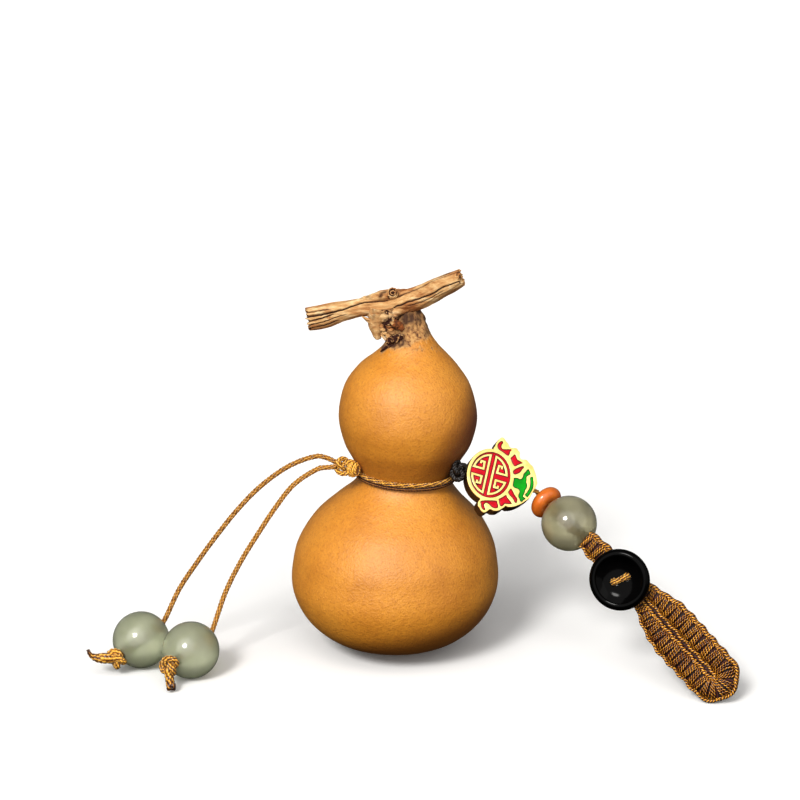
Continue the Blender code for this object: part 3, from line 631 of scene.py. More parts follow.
class Band:
    """A knotted band: places in it are (along, across, out), laid over a line in a plane."""

    def __init__(self, line, face, scale):
        self.line = line
        self.along = travelled(line)
        self.length = self.along[-1]
        self.face = unit(face)
        tangents = unit(np.gradient(line, axis=0))
        self.across = unit(np.cross(self.face, tangents))
        self.scale = scale

    def at(self, s, x, z):
        """Points for arrays of distance along, across and out."""
        sizes = self.scale(s)
        middle = np.stack([np.interp(s, self.along, c) for c in self.line.T], axis=-1)
        across = unit(np.stack([np.interp(s, self.along, c) for c in self.across.T], axis=-1))
        return middle + across * (x * sizes)[..., None] + self.face * (z * sizes)[..., None]


def knot_band(band, width, thick, step, threads=3, thread_radius=0.00021):
    """Square knots over a core: one cord crosses the front and one the back, and they lock at the edges.
    step is how far apart two crossings are, and each cord is several threads side by side."""
    shape = Shape()
    half, deep = width / 2 - thread_radius, thick / 2 - thread_radius
    turns = band.length / step
    count = int(turns * 18)
    u = np.linspace(0, turns, count)
    s = step * (u + 0.66 * np.sin(TAU * u) / TAU)
    swing = np.cos(math.pi * u)
    crown = 1 - swing**4
    gap = thread_radius * 1.95
    for front in (True, False):
        sign = -1 if front else 1
        x = sign * half * swing * (1.0 if front else 0.86)
        z = deep * (1.15 * crown - 0.15) if front else -deep * (1.40 * crown - 0.40)
        centre = np.stack([s, x, z], axis=1)
        tangent = unit(np.gradient(centre, axis=0))
        outward = unit(np.stack([np.zeros(count), x / half**2, z / deep**2], axis=1) + 1e-9)
        beside = unit(np.cross(outward, tangent))
        for thread in range(threads):
            offset = (thread - (threads - 1) / 2) * gap
            drift = thread_radius * 0.5 * wobble(np.stack([u * 1.7, 0 * u + thread * 9.1, 0 * u + sign * 5], axis=1), 1.0, 2)
            path = centre + beside * (offset + drift)[:, None] + outward * (drift * 0.6)[:, None]
            keep = (path[:, 0] > -step * 0.3) & (path[:, 0] < band.length + step * 0.3)
            path = path[keep]
            laid = band.at(np.clip(path[:, 0], 0, band.length), path[:, 1], path[:, 2])
            tone = chance.uniform(-0.24, 0.08) + 0.18 * wobble(np.stack([u * 0.9, 0 * u + thread * 3.3, 0 * u + sign], axis=1), 1.0, 2)[keep]
            tube(shape, laid, thread_radius, 6, tone=tone)
    # The loops of the knots lie along both edges as a scalloped cord.
    s = np.linspace(0, band.length, int(turns * 9))
    for side in (-1, 1):
        scallop = thread_radius * 0.9 * np.cos(math.pi * s / step + (0 if side < 0 else math.pi))
        for lift in (-0.5, 0.5):
            edge = band.at(s, side * (half * 0.90 + scallop), deep * lift + 0.3 * scallop)
            # The edge cords are painted darker, the back one more than the front: painted shade.
            tube(shape, edge, thread_radius * 1.5, 7, tone=-0.14 + 0.12 * lift)
    return shape


def band_core(band, width, thick):
    """The cords that the knots are tied over, as one flattened bundle, dark so that the gaps between the knots show
    painted shade.
    """
    shape = Shape()
    s = np.linspace(0, band.length, max(int(band.length / 0.0006), 8))
    angle = TAU * np.arange(28) / 28
    lobes = 1 + 0.10 * np.cos(4 * angle)
    x = np.cos(angle)[None] * lobes * width / 2 + 0 * s[:, None]
    z = np.sin(angle)[None] * lobes * thick / 2 + 0 * s[:, None]
    rings = band.at(s[:, None] + 0 * x, x, z)
    shape.grid(rings, s / MM, np.arange(29) / 28, caps=True)
    return shape


def make_strap_braid():
    start = STRAP_BEAD_PLACE + STRAP_BEAD_AXIS * (STRAP_BEAD_RADIUS - 0.0009)
    line = start + np.linspace(0, 1, 30)[:, None] * (BRAID_END - start)
    band = Band(line, BUTTON_FACE, lambda s: np.minimum(1.0, 0.80 + 0.20 * s / 0.0040))
    braid = knot_band(band, 0.0052, 0.0028, 0.00165)
    braid = braid.finish("strap_braid_look", loop_thread, "strap_braid", slot="cord")
    core = band_core(band, 0.0034, 0.0014).finish("strap_braid_core_and_shade", core_and_shade_thread, slot="cord")
    return [braid, core]


def make_loop():
    run = LOOP_END_MIDDLE - BRAID_END
    length = np.linalg.norm(run)
    x = run / length
    z = unit(BUTTON_FACE - x * (BUTTON_FACE @ x))
    y = np.cross(z, x)
    straight = length - 0.0040
    stations = [*LOOP_RIGHT_ARM, (straight, LOOP_ARM_OFFSET, LOOP_WIDTH)]
    angles = math.pi / 2 - math.pi * np.arange(9) / 8
    for angle in angles:
        along = length + LOOP_ARM_OFFSET * math.cos(angle)
        stations.append((along, LOOP_ARM_OFFSET * math.sin(angle), LOOP_WIDTH))
    stations += [(straight, -LOOP_ARM_OFFSET, LOOP_WIDTH), *reversed(LOOP_LEFT_ARM)]
    flat = smooth_through(stations, 240)
    line = BRAID_END + flat[:, :1] * x + flat[:, 1:2] * y
    place = travelled(line)
    band = Band(line, z, lambda s: np.interp(s, place, flat[:, 2] / LOOP_WIDTH))
    loop = knot_band(band, LOOP_WIDTH - 0.0001, 0.0031, 0.00162)
    loop = loop.finish("loop_look", loop_thread, "loop_braid", slot="cord")
    core = band_core(band, 0.0036, 0.0015)
    # A dark strand along the seam between the two arms: painted shade in the gap between them.
    seam = np.linspace(0.0034, length - 0.0004, 40)[:, None]
    tube(core, BRAID_END + seam * x - 0.0004 * z, np.linspace(0.00050, 0.00085, 40), 8)
    return [loop, core.finish("loop_core_and_seam_shade", core_and_shade_thread, slot="cord")]


def button_turn():
    slope = math.radians(24)
    x = np.array((math.cos(slope), 0.0, math.sin(slope)))
    return turn_to(BUTTON_FACE, x)


def make_button():
    """A dished button: rounded raised rim, a smooth floor and two holes."""
    half, radius, rim = 0.0016, 0.0065, 0.0010
    floor = [(0.0, -0.0001), (0.0013, -0.00008), (0.0026, 0.0000), (0.0036, 0.00025), (0.0044, 0.00065), (0.0050, 0.0010)]
    floor = smooth_through(floor, 22).tolist()
    angles = np.radians(115 - 160 * np.arange(25) / 24)
    edge = [(radius - rim + rim * math.cos(a), half - rim + rim * math.sin(a)) for a in angles]
    back = smooth_through([edge[-1], (0.0054, -0.0009), (0.0040, -half + 0.0001), (0.0020, -half), (0.0, -half)], 18)
    shape = Shape()
    lathe(shape, [*floor, *edge, *back[1:].tolist()], 96)
    button = shape.finish("button_look", black_look, slot="black")
    holes = []
    for side in (-1, 1):
        bpy.ops.mesh.primitive_cylinder_add(vertices=32, radius=0.0010, depth=0.008, location=(side * 0.00145, 0, 0))
        holes.append(bpy.context.object)
    return cut_by(button, holes, button_turn(), BUTTON_PLACE, "button", 40)


def cut_by(piece, cutters, turn, place, node, sharp):
    """The piece with the cutters taken out of it, laid in its place."""
    work = bmesh.new()
    work.from_mesh(piece.data)
    bmesh.ops.remove_doubles(work, verts=work.verts, dist=1e-7)
    work.to_mesh(piece.data)
    work.free()
    for cutter in cutters:
        boolean = piece.modifiers.new("cut", "BOOLEAN")
        boolean.operation = "DIFFERENCE"
        boolean.solver = "EXACT"
        boolean.object = cutter
    bpy.context.view_layer.update()
    mesh = bpy.data.meshes.new_from_object(piece.evaluated_get(bpy.context.evaluated_depsgraph_get()))
    piece.modifiers.clear()
    piece.data = mesh
    for cutter in cutters:
        bpy.data.objects.remove(cutter, do_unlink=True)
    mesh.transform(Matrix.Translation(place) @ Matrix(turn.tolist()).to_4x4())
    mesh.shade_smooth()
    mesh.set_sharp_from_angle(angle=math.radians(sharp))
    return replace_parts(piece, node)


def make_stitch():
    """Strands of cord over the button's floor and down its two holes."""
    span, low, crest = 0.00145, -0.0014, 0.0010
    stations = [
        (-span, 0, low),
        (-span, 0, 0.0000),
        (-span * 0.8, 0, crest * 0.72),
        (0, 0, crest),
        (span * 0.8, 0, crest * 0.72),
        (span, 0, 0.0000),
        (span, 0, low),
    ]
    line = smooth_through(stations, 40) @ button_turn().T + BUTTON_PLACE
    shape = Shape()
    plied(shape, line, (0.00094, 0.00092, 0.00068, 0.00064, 0.00068, 0.00092, 0.00094), 0.0026, plies=4, fill=0.42, tone=-0.1)
    return shape.finish("button_stitch_look", gold_thread, "button_stitch", slot="cord")


# ---------------------------------------------------------------- the plate

PLATE_HALF = 0.00175
ENAMEL_TOP = PLATE_HALF - 0.00008
# The plate's flat drawing, in millimetres along and across its hanging axis. Its rim runs from the
# upper ear round the wing's tip to the lower ear, and the roundel's arc closes it.
RIM = (
    ((-0.6, 5.7), (-0.6, 6.1), (-0.4, 6.6), (-0.3, 7.4), (0.0, 8.1), (0.4, 8.7), (0.7, 9.0), (1.3, 8.8), (1.8, 8.3))
    + ((2.3, 8.0), (2.6, 7.6), (2.9, 7.3), (3.5, 7.3), (4.3, 7.5), (4.8, 7.1), (5.3, 6.7), (5.4, 5.9), (5.9, 5.4))
    + ((6.9, 5.6), (7.3, 5.4), (8.0, 4.9), (8.6, 4.6), (8.9, 4.2), (9.3, 3.6), (9.7, 2.9), (10.0, 2.2), (10.3, 1.4))
    + ((10.4, 1.0), (10.2, 0.1), (10.0, -0.6), (9.7, -1.6), (9.4, -2.6), (8.6, -3.6), (8.1, -4.2), (7.3, -4.9))
    + ((6.4, -5.5), (5.3, -5.9), (4.7, -5.8), (4.4, -6.3), (4.0, -6.7), (3.4, -7.3), (2.4, -7.6), (1.6, -7.5))
    + ((1.1, -8.1), (0.5, -8.6), (-0.2, -8.4), (-0.7, -7.9), (-1.2, -7.4), (-1.3, -6.5), (-1.0, -5.9))
)
ROUNDEL = (5.15, 5.9)
DISC = (4.42, 5.12)
RED_CELLS = (
    ((0.4, 7.7), (0.8, 8.1), (1.2, 7.9), (1.0, 7.2), (1.1, 6.7), (1.6, 6.4), (3.3, 6.9), (3.1, 6.3), (3.1, 5.9))
    + ((3.0, 5.4), (2.6, 5.3), (1.6, 5.7), (0.7, 6.0), (0.3, 6.3), (0.1, 7.0)),
    ((-0.6, -6.2), (2.4, -5.3), (2.8, -5.7), (3.1, -6.2), (3.1, -6.7), (2.4, -7.0), (1.8, -6.9), (1.3, -6.6))
    + ((0.9, -6.4), (0.3, -6.4), (0.1, -7.0), (0.5, -7.6), (0.5, -8.0), (0.1, -8.0), (-0.4, -7.6), (-0.6, -7.0)),
    ((4.2, 6.0), (4.6, 5.7), (5.0, 5.1), (5.5, 4.9), (6.3, 4.7), (5.9, 4.3), (5.4, 3.9), (4.8, 3.4), (4.2, 3.8))
    + ((3.7, 4.5), (3.5, 4.9), (3.8, 5.4)),
    ((4.3, -3.4), (4.7, -3.9), (5.1, -4.2), (5.5, -4.5), (5.9, -4.9), (5.3, -5.2), (4.4, -5.4), (4.2, -5.8))
    + ((3.7, -6.2), (3.3, -5.8), (3.1, -5.3), (2.9, -4.8), (3.3, -4.4), (3.9, -3.8)),
    ((6.6, 4.0), (6.8, 3.7), (6.5, 3.2), (6.3, 2.6), (5.9, 2.1), (5.1, 1.6), (4.7, 1.9), (4.7, 2.4), (5.1, 2.9))
    + ((5.8, 3.5),),
    ((5.0, -1.7), (5.5, -2.1), (6.0, -2.7), (6.5, -3.2), (6.9, -3.6), (6.9, -4.1), (6.8, -4.5), (6.4, -4.4))
    + ((6.0, -3.9), (5.5, -3.5), (5.0, -3.2), (4.6, -2.7), (4.7, -2.3)),
)
GREEN_CELL = (
    ((7.9, 3.6), (8.5, 2.8), (8.1, 2.3), (7.8, 1.9), (7.9, 1.4), (8.0, 0.7), (8.3, 0.1), (8.3, -0.6), (8.1, -1.1))
    + ((8.1, -1.6), (8.0, -2.1), (8.0, -2.7), (8.6, -2.9), (8.4, -3.2), (8.2, -3.4), (7.9, -3.9), (7.5, -3.8))
    + ((7.3, -3.4), (7.0, -3.1), (6.9, -2.5), (7.0, -1.9), (6.8, -1.5), (6.4, -1.3), (5.8, -1.3), (5.3, -1.0))
    + ((5.2, -0.4), (5.2, 0.4), (5.2, 0.8), (6.0, 1.0), (6.4, 0.9), (6.8, 1.1), (7.0, 1.7), (7.0, 2.2), (7.1, 2.5))
    + ((7.4, 3.0), (7.5, 3.3))
)
BAND_CELL = (
    ((9.15, 2.2), (9.45, 1.4), (9.65, 0.6), (9.7, -0.1), (9.55, -0.8), (9.35, -1.5), (9.1, -2.1), (8.9, -2.5))
    + ((8.25, -2.2), (8.55, -1.6), (8.75, -1.0), (8.9, -0.4), (8.93, 0.2), (8.85, 0.9), (8.6, 1.9))
)


def oval(half, first=0, last=360, count=96):
    """Points of an oval, in metres, from one angle to another."""
    angle = np.radians(np.linspace(first, last, count, endpoint=last - first != 360))
    return np.stack([half[0] * np.cos(angle), half[1] * np.sin(angle)], axis=1) * MM


def cell(points, inset=0.0):
    """A cell's outline in metres, a little rounded."""
    outline = smooth_through(np.array(points) * MM, len(points) * 4, closed=True)
    return shrunk(outline, inset) if inset else outline


def stroke(points, width, closed=False):
    """The outlines of a strip this wide along a flat line, with mitred corners."""
    points = np.array(points, float)
    if closed:
        before, after = unit(points - np.roll(points, 1, 0)), unit(np.roll(points, -1, 0) - points)
    else:
        steps = unit(np.diff(points, axis=0))
        before, after = np.vstack([steps[:1], steps]), np.vstack([steps, steps[-1:]])
    middle = unit(before + after)
    normal = np.stack([-middle[:, 1], middle[:, 0]], axis=1)
    reach = width / 2 / np.maximum(np.abs((before * middle).sum(axis=1)), 0.5)
    left, right = points + normal * reach[:, None], points - normal * reach[:, None]
    if closed:
        return [left, right]
    return [np.vstack([left, right[::-1]])]


def add_slab(work, outlines, low, high, bevel=0.00008):
    """Adds a flat solid with these outlines, a second one inside the first being a hole."""
    curve = bpy.data.curves.new("slab", "CURVE")
    curve.dimensions = "2D"
    curve.fill_mode = "BOTH"
    curve.extrude = (high - low) / 2 - bevel
    curve.bevel_depth = bevel
    curve.bevel_resolution = 2
    curve.offset = -bevel
    for outline in outlines:
        spline = curve.splines.new("POLY")
        spline.points.add(len(outline) - 1)
        for point, (x, y) in zip(spline.points, outline):
            point.co = (x, y, 0.0, 1.0)
        spline.use_cyclic_u = True
    thing = bpy.data.objects.new("slab", curve)
    mesh = bpy.data.meshes.new_from_object(thing)
    mesh.transform(Matrix.Translation((0, 0, (low + high) / 2)))
    work.from_mesh(mesh)
    bpy.data.objects.remove(thing, do_unlink=True)
    bpy.data.meshes.remove(mesh)


def plate_piece(work, name, material, *replaced, slot=None):
    mesh = bpy.data.meshes.new(name)
    bmesh.ops.remove_doubles(work, verts=work.verts, dist=1e-7)
    bmesh.ops.recalc_face_normals(work, faces=work.faces)
    work.to_mesh(mesh)
    work.free()
    mesh.transform(Matrix.Translation(PLATE_MIDDLE) @ Matrix(plate_turn().tolist()).to_4x4())
    return as_piece(mesh, name, material, *replaced, slot=slot, sharp=45)


def plate_outline():
    rim = smooth_through(np.array(RIM) * MM, 170)
    return np.vstack([rim, oval(ROUNDEL, 258, 98, 50)])


FRET_LINE = 0.00046
# The fret is symmetric about both of its axes: each quarter is half a long bar, an arc, an inward bar
# and a hook.
FRET_BAR = 0.63
FRET_OVAL = (3.75, 4.35)
FRET_HOOK = [(1.55, 0.85), (1.6, 2.45), (2.35, 2.45), (2.35, 1.9)]
FRET_SHIFT = -0.2


def fret_half(side):
    """One half of the roundel's fret: a hook, an inward bar, an arc and the long bar, and back."""
    first = math.degrees(math.acos(FRET_BAR / FRET_OVAL[0]))
    last = math.degrees(math.asin(FRET_HOOK[0][1] / FRET_OVAL[1]))
    quarter = (oval(FRET_OVAL, first, last, 12) / MM).tolist() + FRET_HOOK
    lower = [(x, -y) for x, y in reversed(quarter)]
    return np.array([(x * side + FRET_SHIFT, y) for x, y in lower + quarter]) * MM


def make_plate():
    outline = plate_outline()
    low = ENAMEL_TOP - 0.0004
    base = bmesh.new()
    # The body under the gold is dark, so that the plate's side walls show painted shade.
    add_slab(base, [outline], -PLATE_HALF, PLATE_HALF - 0.0003, 0.00022)
    base = plate_piece(base, "charm_base", shaded_gilt_look, slot="gilt")

    gold = bmesh.new()
    holes = [cell(c)[::-1] for c in (*RED_CELLS, GREEN_CELL, BAND_CELL)]
    add_slab(gold, [shrunk(outline, 0.00004), oval(DISC)[::-1], *holes], PLATE_HALF - 0.00045, PLATE_HALF)
    for side in (-1, 1):
        add_slab(gold, stroke(fret_half(side), FRET_LINE), low, PLATE_HALF)
    gold = plate_piece(gold, "charm_gold", gilt_look, "charm_plate", slot="gilt")

    # Each cell's enamel is darker where it meets the gold: painted shade.
    edge_shade = bmesh.new()
    add_slab(edge_shade, [oval(DISC), oval(DISC, 0, 360, 96)[::-1] * 0.965], low, ENAMEL_TOP)
    for side in (-1, 1):
        add_slab(edge_shade, stroke(fret_half(side), FRET_LINE + 0.00032), low, ENAMEL_TOP + 0.00001)
    for points in RED_CELLS:
        add_slab(edge_shade, [cell(points)], low, ENAMEL_TOP - 0.00003)
    edge_shade = plate_piece(edge_shade, "charm_red_edge_shade", red_enamel_edge_shade)

    red = bmesh.new()
    add_slab(red, [oval(DISC) * 0.99], low, ENAMEL_TOP - 0.00004)
    for points in RED_CELLS:
        add_slab(red, [cell(points, 0.00016)], low, ENAMEL_TOP)
    red = plate_piece(red, "charm_red", red_enamel)

    # The green cells are darker at their rims, where they meet the gold: painted shade.
    deep = bmesh.new()
    add_slab(deep, [cell(GREEN_CELL)], low, ENAMEL_TOP - 0.00003)
    add_slab(deep, [cell(BAND_CELL)], low, ENAMEL_TOP - 0.00003)
    deep = plate_piece(deep, "charm_green_edge_shade", green_edge_shade)
    green = bmesh.new()
    add_slab(green, [cell(GREEN_CELL, 0.00026)], low, ENAMEL_TOP)
    add_slab(green, [cell(BAND_CELL, 0.00014)], low, ENAMEL_TOP)
    green = plate_piece(green, "charm_green", green_enamel)
    return [base, gold, edge_shade, red, deep, green]


def shrunk(outline, inset):
    """The outline moved inwards."""
    before = unit(outline - np.roll(outline, 1, 0))
    after = unit(np.roll(outline, -1, 0) - outline)
    middle = unit(before + after)
    area = np.sum(outline[:, 0] * np.roll(outline[:, 1], -1) - np.roll(outline[:, 0], -1) * outline[:, 1])
    inward = np.stack([-middle[:, 1], middle[:, 0]], axis=1) * (1 if area > 0 else -1)
    return outline + inward * inset


strap_cord, strap_path = make_strap_cord()
strap_bead = make_bead("strap_bead_look", STRAP_BEAD_PLACE, STRAP_BEAD_AXIS, STRAP_BEAD_RADIUS, clear_jade)
strap_pieces = [*make_plate(), make_rondelle(), strap_bead, *make_strap_braid(), make_button(), make_stitch(), *make_loop()]


# ---------------------------------------------------------------- the gourd

BULB_RADIUS, BULB_LEVEL, FLAT_RADIUS = 0.0228, 0.0172, 0.0010
UNDER_RADIUS, UNDER_SLOPE, UNDER_BLEND = 0.0032, 0.302, 0.0003
SKIN_LEVELS = (
    (BULB_LEVEL, BULB_RADIUS, 0.0000),
    (0.0240, 0.0216, 0.00015),
    (0.0300, 0.0184, 0.00045),
    (0.0345, 0.0140, 0.0008),
    (0.0372, 0.0113, 0.0015),
    (0.0390, 0.0101, 0.0019),
    (0.0406, 0.0099, 0.0022),
    (0.0424, 0.0107, 0.0025),
    (0.0446, 0.0120, 0.0027),
    (0.0480, 0.0138, 0.0028),
    (0.0535, 0.01485, 0.0028),
    (0.0598, 0.0136, 0.0027),
    (0.0642, 0.0108, 0.0028),
    (0.0670, 0.0079, 0.0033),
    (0.0692, 0.0058, 0.0034),
    (0.0722, 0.0042, 0.0031),
    (0.0758, 0.0031, 0.0029),
    (0.0775, 0.0026, 0.0028),
)


def make_skin():
    upper = smooth_through(SKIN_LEVELS, 150)[::-1]
    half_depth = BULB_LEVEL / math.sqrt(1 - (0.0045 / BULB_RADIUS) ** 2)
    angles = np.linspace(0, math.acos(FLAT_RADIUS / BULB_RADIUS), 40)[1:]
    under = np.stack([BULB_LEVEL - half_depth * np.sin(angles), BULB_RADIUS * np.cos(angles), 0 * angles], axis=1)
    # It narrows to a shallow cone, on which it stands.
    cone = UNDER_SLOPE * (under[:, 1] - UNDER_RADIUS)
    under[:, 0] = UNDER_BLEND * np.log(np.exp(under[:, 0] / UNDER_BLEND) + np.exp(cone / UNDER_BLEND))
    under[:, 0] -= under[-1, 0]
    profile = np.vstack([upper, under, [(0.0, 0.00001, 0.0)]])
    # The two halves meet in one curve, with no crease.
    profile = evenly(profile, 260)
    window = np.hanning(27) / np.hanning(27).sum()
    padded = np.pad(profile, ((13, 13), (0, 0)), mode="edge")
    calm = np.stack([np.convolve(padded[:, k], window, "valid") for k in range(3)], axis=1)
    near = np.exp(-(((profile[:, :1] - BULB_LEVEL + 0.001) / 0.006) ** 4))
    profile = profile + (calm - profile) * near
    sides = 168
    angle = TAU * np.arange(sides) / sides
    ring = np.stack([np.cos(angle), np.sin(angle), np.zeros(sides)], axis=-1)
    profile = profile[::-1]
    height, radius, lean = profile.T
    points = radius[:, None, None] * ring[None]
    # The stalk's top is flatter, and goes up behind the vine's front.
    points[..., 1] *= 1 - 0.42 * np.clip((height - 0.0722) / 0.0040, 0, 1)[:, None]
    points[..., 0] += lean[:, None]
    points[..., 2] += height[:, None]
    outward = ring[None] + 0 * points
    # Broad dents all over, and corky ridges on the stalk.
    stalk = np.clip((height - 0.0700) / 0.0025, 0, 1)[:, None]
    dents = wobble(points, 70, 2, 3.0) * 0.00012 * np.clip(radius / 0.01, 0, 1)[:, None]
    ridges = wobble(points * (1, 1, 0.35), 1500, 3, 8.0) * 0.00042 * stalk
    points = points + outward * (dents * (height > 0.002)[:, None] + ridges)[..., None]
    x, y = points[..., 0], points[..., 1]
    edge = height[:, None] - 0.0697 - 0.18 * x + 0.0009 * wobble(points, 420, 3, 5.0)
    specks = np.clip(wobble(points, 900, 3, 1.0) * 3 - 0.9, 0, 1) * np.clip((height - 0.0672) / 0.002, 0, 1)[:, None]
    cork = np.clip(np.clip(edge / 0.0006, 0, 1) + specks, 0, 1)
    # Painted shade: in the hollow under the torn shoot, in the crease that runs from it, under the vine and at the
    # stalk's right side.
    hollow = np.exp(-(((x - 0.0003) / 0.0019) ** 2) - (((height[:, None] - 0.0712) / 0.0011) ** 2))
    crease_level = np.interp(x, (-0.0040, -0.0014, 0.0018, 0.0024), (0.0675, 0.0697, 0.0708, 0.0716))
    crease = np.exp(-(((height[:, None] - crease_level) / 0.00035) ** 2)) * (x < 0.0020) * (x > -0.0030)
    shade = np.clip((height[:, None] - 0.0709 - 0.35 * x) / 0.0030, 0, 1) * 0.85
    right = np.clip((x - 0.0058) / 0.0014, 0, 1) * np.clip((height[:, None] - 0.0712) / 0.001, 0, 1) * 0.6
    painted_stalk_shade = np.clip((1.3 * hollow + 1.1 * crease) * (y < 0) + shade + right, 0, 1)
    painted_stalk_shade = painted_stalk_shade * (1 + 0.9 * wobble(points, 1100, 2, 2.0))
    # Where the painted shade falls the skin turns to cork, and to darker cork.
    cork = np.maximum(cork, np.clip(painted_stalk_shade * 4, 0, 1)) + np.clip(painted_stalk_shade, 0, 1)
    # Painted shade: the upper bulb is darker at its lower right, the lower bulb underneath at the right, and the skin
    # round the waist.
    sideways = (x - lean[:, None]) * 0.85 - (height[:, None] - 0.0535) * 0.53
    upper_bulb = np.clip((height - 0.0405) / 0.008, 0, 1)[:, None]
    painted_bulb_shade = np.clip((sideways / 0.01485 - 0.42) / 0.38, 0, 1) * upper_bulb
    beneath = (x - lean[:, None]) * 0.30 - (height[:, None] - BULB_LEVEL) * 1.15
    painted_bulb_shade = painted_bulb_shade + np.clip((beneath / 0.0195 - 0.34) / 0.30, 0, 1) * (1 - upper_bulb) * 0.62
    waist = np.exp(-(((height - 0.0440) / 0.0042) ** 2))[:, None]
    tone = cork - np.clip(painted_bulb_shade + 0.22 * waist, 0, 1) * np.clip(1 - cork, 0, 1)
    shape = Shape()
    shape.grid(points, travelled(profile[:, :2]) / MM, np.arange(sides + 1) / sides, tone)
    return shape.finish("gourd_skin", skin_look, "gourd", slot="gourd")


VINE_STATIONS = (
    (-0.0182, 0.0005, 0.0746, 0.0025),
    (-0.0148, 0.0005, 0.0753, 0.0025),
    (-0.0110, 0.0003, 0.0764, 0.0021),
    (-0.0065, 0.0001, 0.0774, 0.0020),
    (-0.0006, 0.0000, 0.0778, 0.0024),
    (0.0053, -0.0004, 0.0797, 0.0025),
    (0.0092, -0.0012, 0.0819, 0.0023),
    (0.0139, -0.0026, 0.0844, 0.0018),
)
# Each groove: (share along, degrees round from the top through the front), its width and its depth.
GROOVES = (
    (((0.0, 62), (0.12, 66), (0.23, 66), (0.33, 50), (0.44, 44), (0.54, 38), (0.68, 28), (0.80, 30), (1.0, 18)), 5, 0.55),
    (((0.36, 134), (0.48, 112), (0.555, 88), (0.634, 82), (0.725, 86), (0.82, 100), (0.88, 92), (1.0, 100)), 4, 0.40),
    (((0.60, 100), (0.70, 104), (0.80, 112), (0.90, 108)), 2.5, 0.14),
    (((0.0, 40), (0.08, 42), (0.17, 46)), 3.5, 0.40),
    (((0.0, 88), (0.08, 84), (0.18, 78)), 3.5, 0.40),
    (((0.0, 108), (0.10, 104), (0.26, 98)), 3.0, 0.30),
    (((0.0, 130), (0.10, 126), (0.20, 124)), 3.5, 0.25),
    (((0.80, 6), (0.90, 2), (1.0, -4)), 7, 0.25),
    (((0.0, 170), (0.4, 165), (0.7, 172), (1.0, 168)), 6, 0.35),
    (((0.0, 215), (0.4, 208), (0.7, 214), (1.0, 220)), 6, 0.40),
    (((0.0, 258), (0.4, 262), (0.7, 250), (1.0, 256)), 6, 0.40),
    (((0.0, 310), (0.5, 300), (1.0, 312)), 6, 0.35),
)


def make_vine():
    rings, sides = 190, 120
    line = smooth_through(VINE_STATIONS, rings)
    middle, radius = line[:, :3], line[:, 3]
    tangent = unit(np.gradient(middle, axis=0))
    up = unit(np.array((0, 0, 1.0)) - tangent * tangent[:, 2:])
    front = np.cross(tangent, up)
    share = np.linspace(0, 1, rings)
    angle = TAU * np.arange(sides) / sides
    degrees = np.degrees(angle)
    cos, sin = np.cos(angle)[None], np.sin(angle)[None]
    where = np.stack([share[:, None] * 3.0 + 0 * cos, cos + 0 * share[:, None], sin + 0 * share[:, None]], axis=-1)
    fibres = wobble(where * (1.0, 9.0, 9.0), 1.0, 3, 2.0)
    lumps = wobble(where * (2.2, 1.5, 1.5), 1.0, 2, 6.0)
    height = 0.10 * fibres + 0.22 * lumps
    # Painted shade: a little darker in the hollows between the fibres.
    tone = np.clip(-fibres * 0.4 - 0.14, 0, 0.3)
    sway = wobble(np.stack([share * 26, 0 * share, 0 * share], axis=1), 1.0, 2, 4.0)
    for stations, width, depth in GROOVES:
        at = np.array(stations, float)
        first, last = at[0, 0], at[-1, 0]
        ends = np.clip((share - first) / 0.04 + (first == 0), 0, 1) * np.clip((last - share) / 0.04 + (last == 1), 0, 1)
        centre = np.interp(share, at[:, 0], at[:, 1]) + 3.0 * sway
        away = (degrees[None] - centre[:, None] + 180) % 360 - 180
        cut = np.exp(-((away / width) ** 2)) * ends[:, None]
        height = height - depth * cut
        # Each groove is painted dark as well: painted shade in it.
        tone = tone + 0.95 * np.exp(-((away / (width * 0.95)) ** 2)) * ends[:, None]
    reach = radius[:, None] + height * MM
    # Both ends are torn, so their rims are ragged.
    ragged = 0.9 * wobble(where * (0.2, 4.0, 4.0), 1.0, 2, 9.0) * MM
    slide = ragged * (np.clip(1 - share / 0.06, 0, 1) - np.clip(1 - (1 - share) / 0.04, 0, 1) * 0.4)[:, None]
    points = middle[:, None] + up[:, None] * (reach * cos)[..., None] + front[:, None] * (reach * sin)[..., None]
    points = points + tangent[:, None] * slide[..., None]
    shape = Shape()
    u = share * 33
    v = np.arange(sides + 1) / sides
    shape.grid(points, u, v, np.clip(tone, 0, 1))
    # The two ends close over broken fibres.
    for ring, outwards in ((0, -1), (rings - 1, 1)):
        edge = points[ring]
        centre = edge.mean(axis=0)
        layers = []
        for shrink in np.linspace(1, 0.02, 16):
            flat = centre + (edge - centre) * shrink
            rough = wobble(flat * 1.0, 2600, 3, 7.0) * 0.45 * MM * min(1.0, (1 - shrink) * 6)
            layers.append(flat + tangent[ring] * outwards * rough[:, None])
        layers = np.array(layers)
        if outwards < 0:
            layers = layers[::-1]
        dark = np.clip(wobble(layers, 1800, 3, 4.0) * 2.2 + (0.25 if outwards < 0 else -0.4), 0, 1)
        shape.grid(layers, np.linspace(0, 2, 16), v, dark)
    return shape.finish("vine", wood_look, "gourd", slot="gourd", sharp=60)


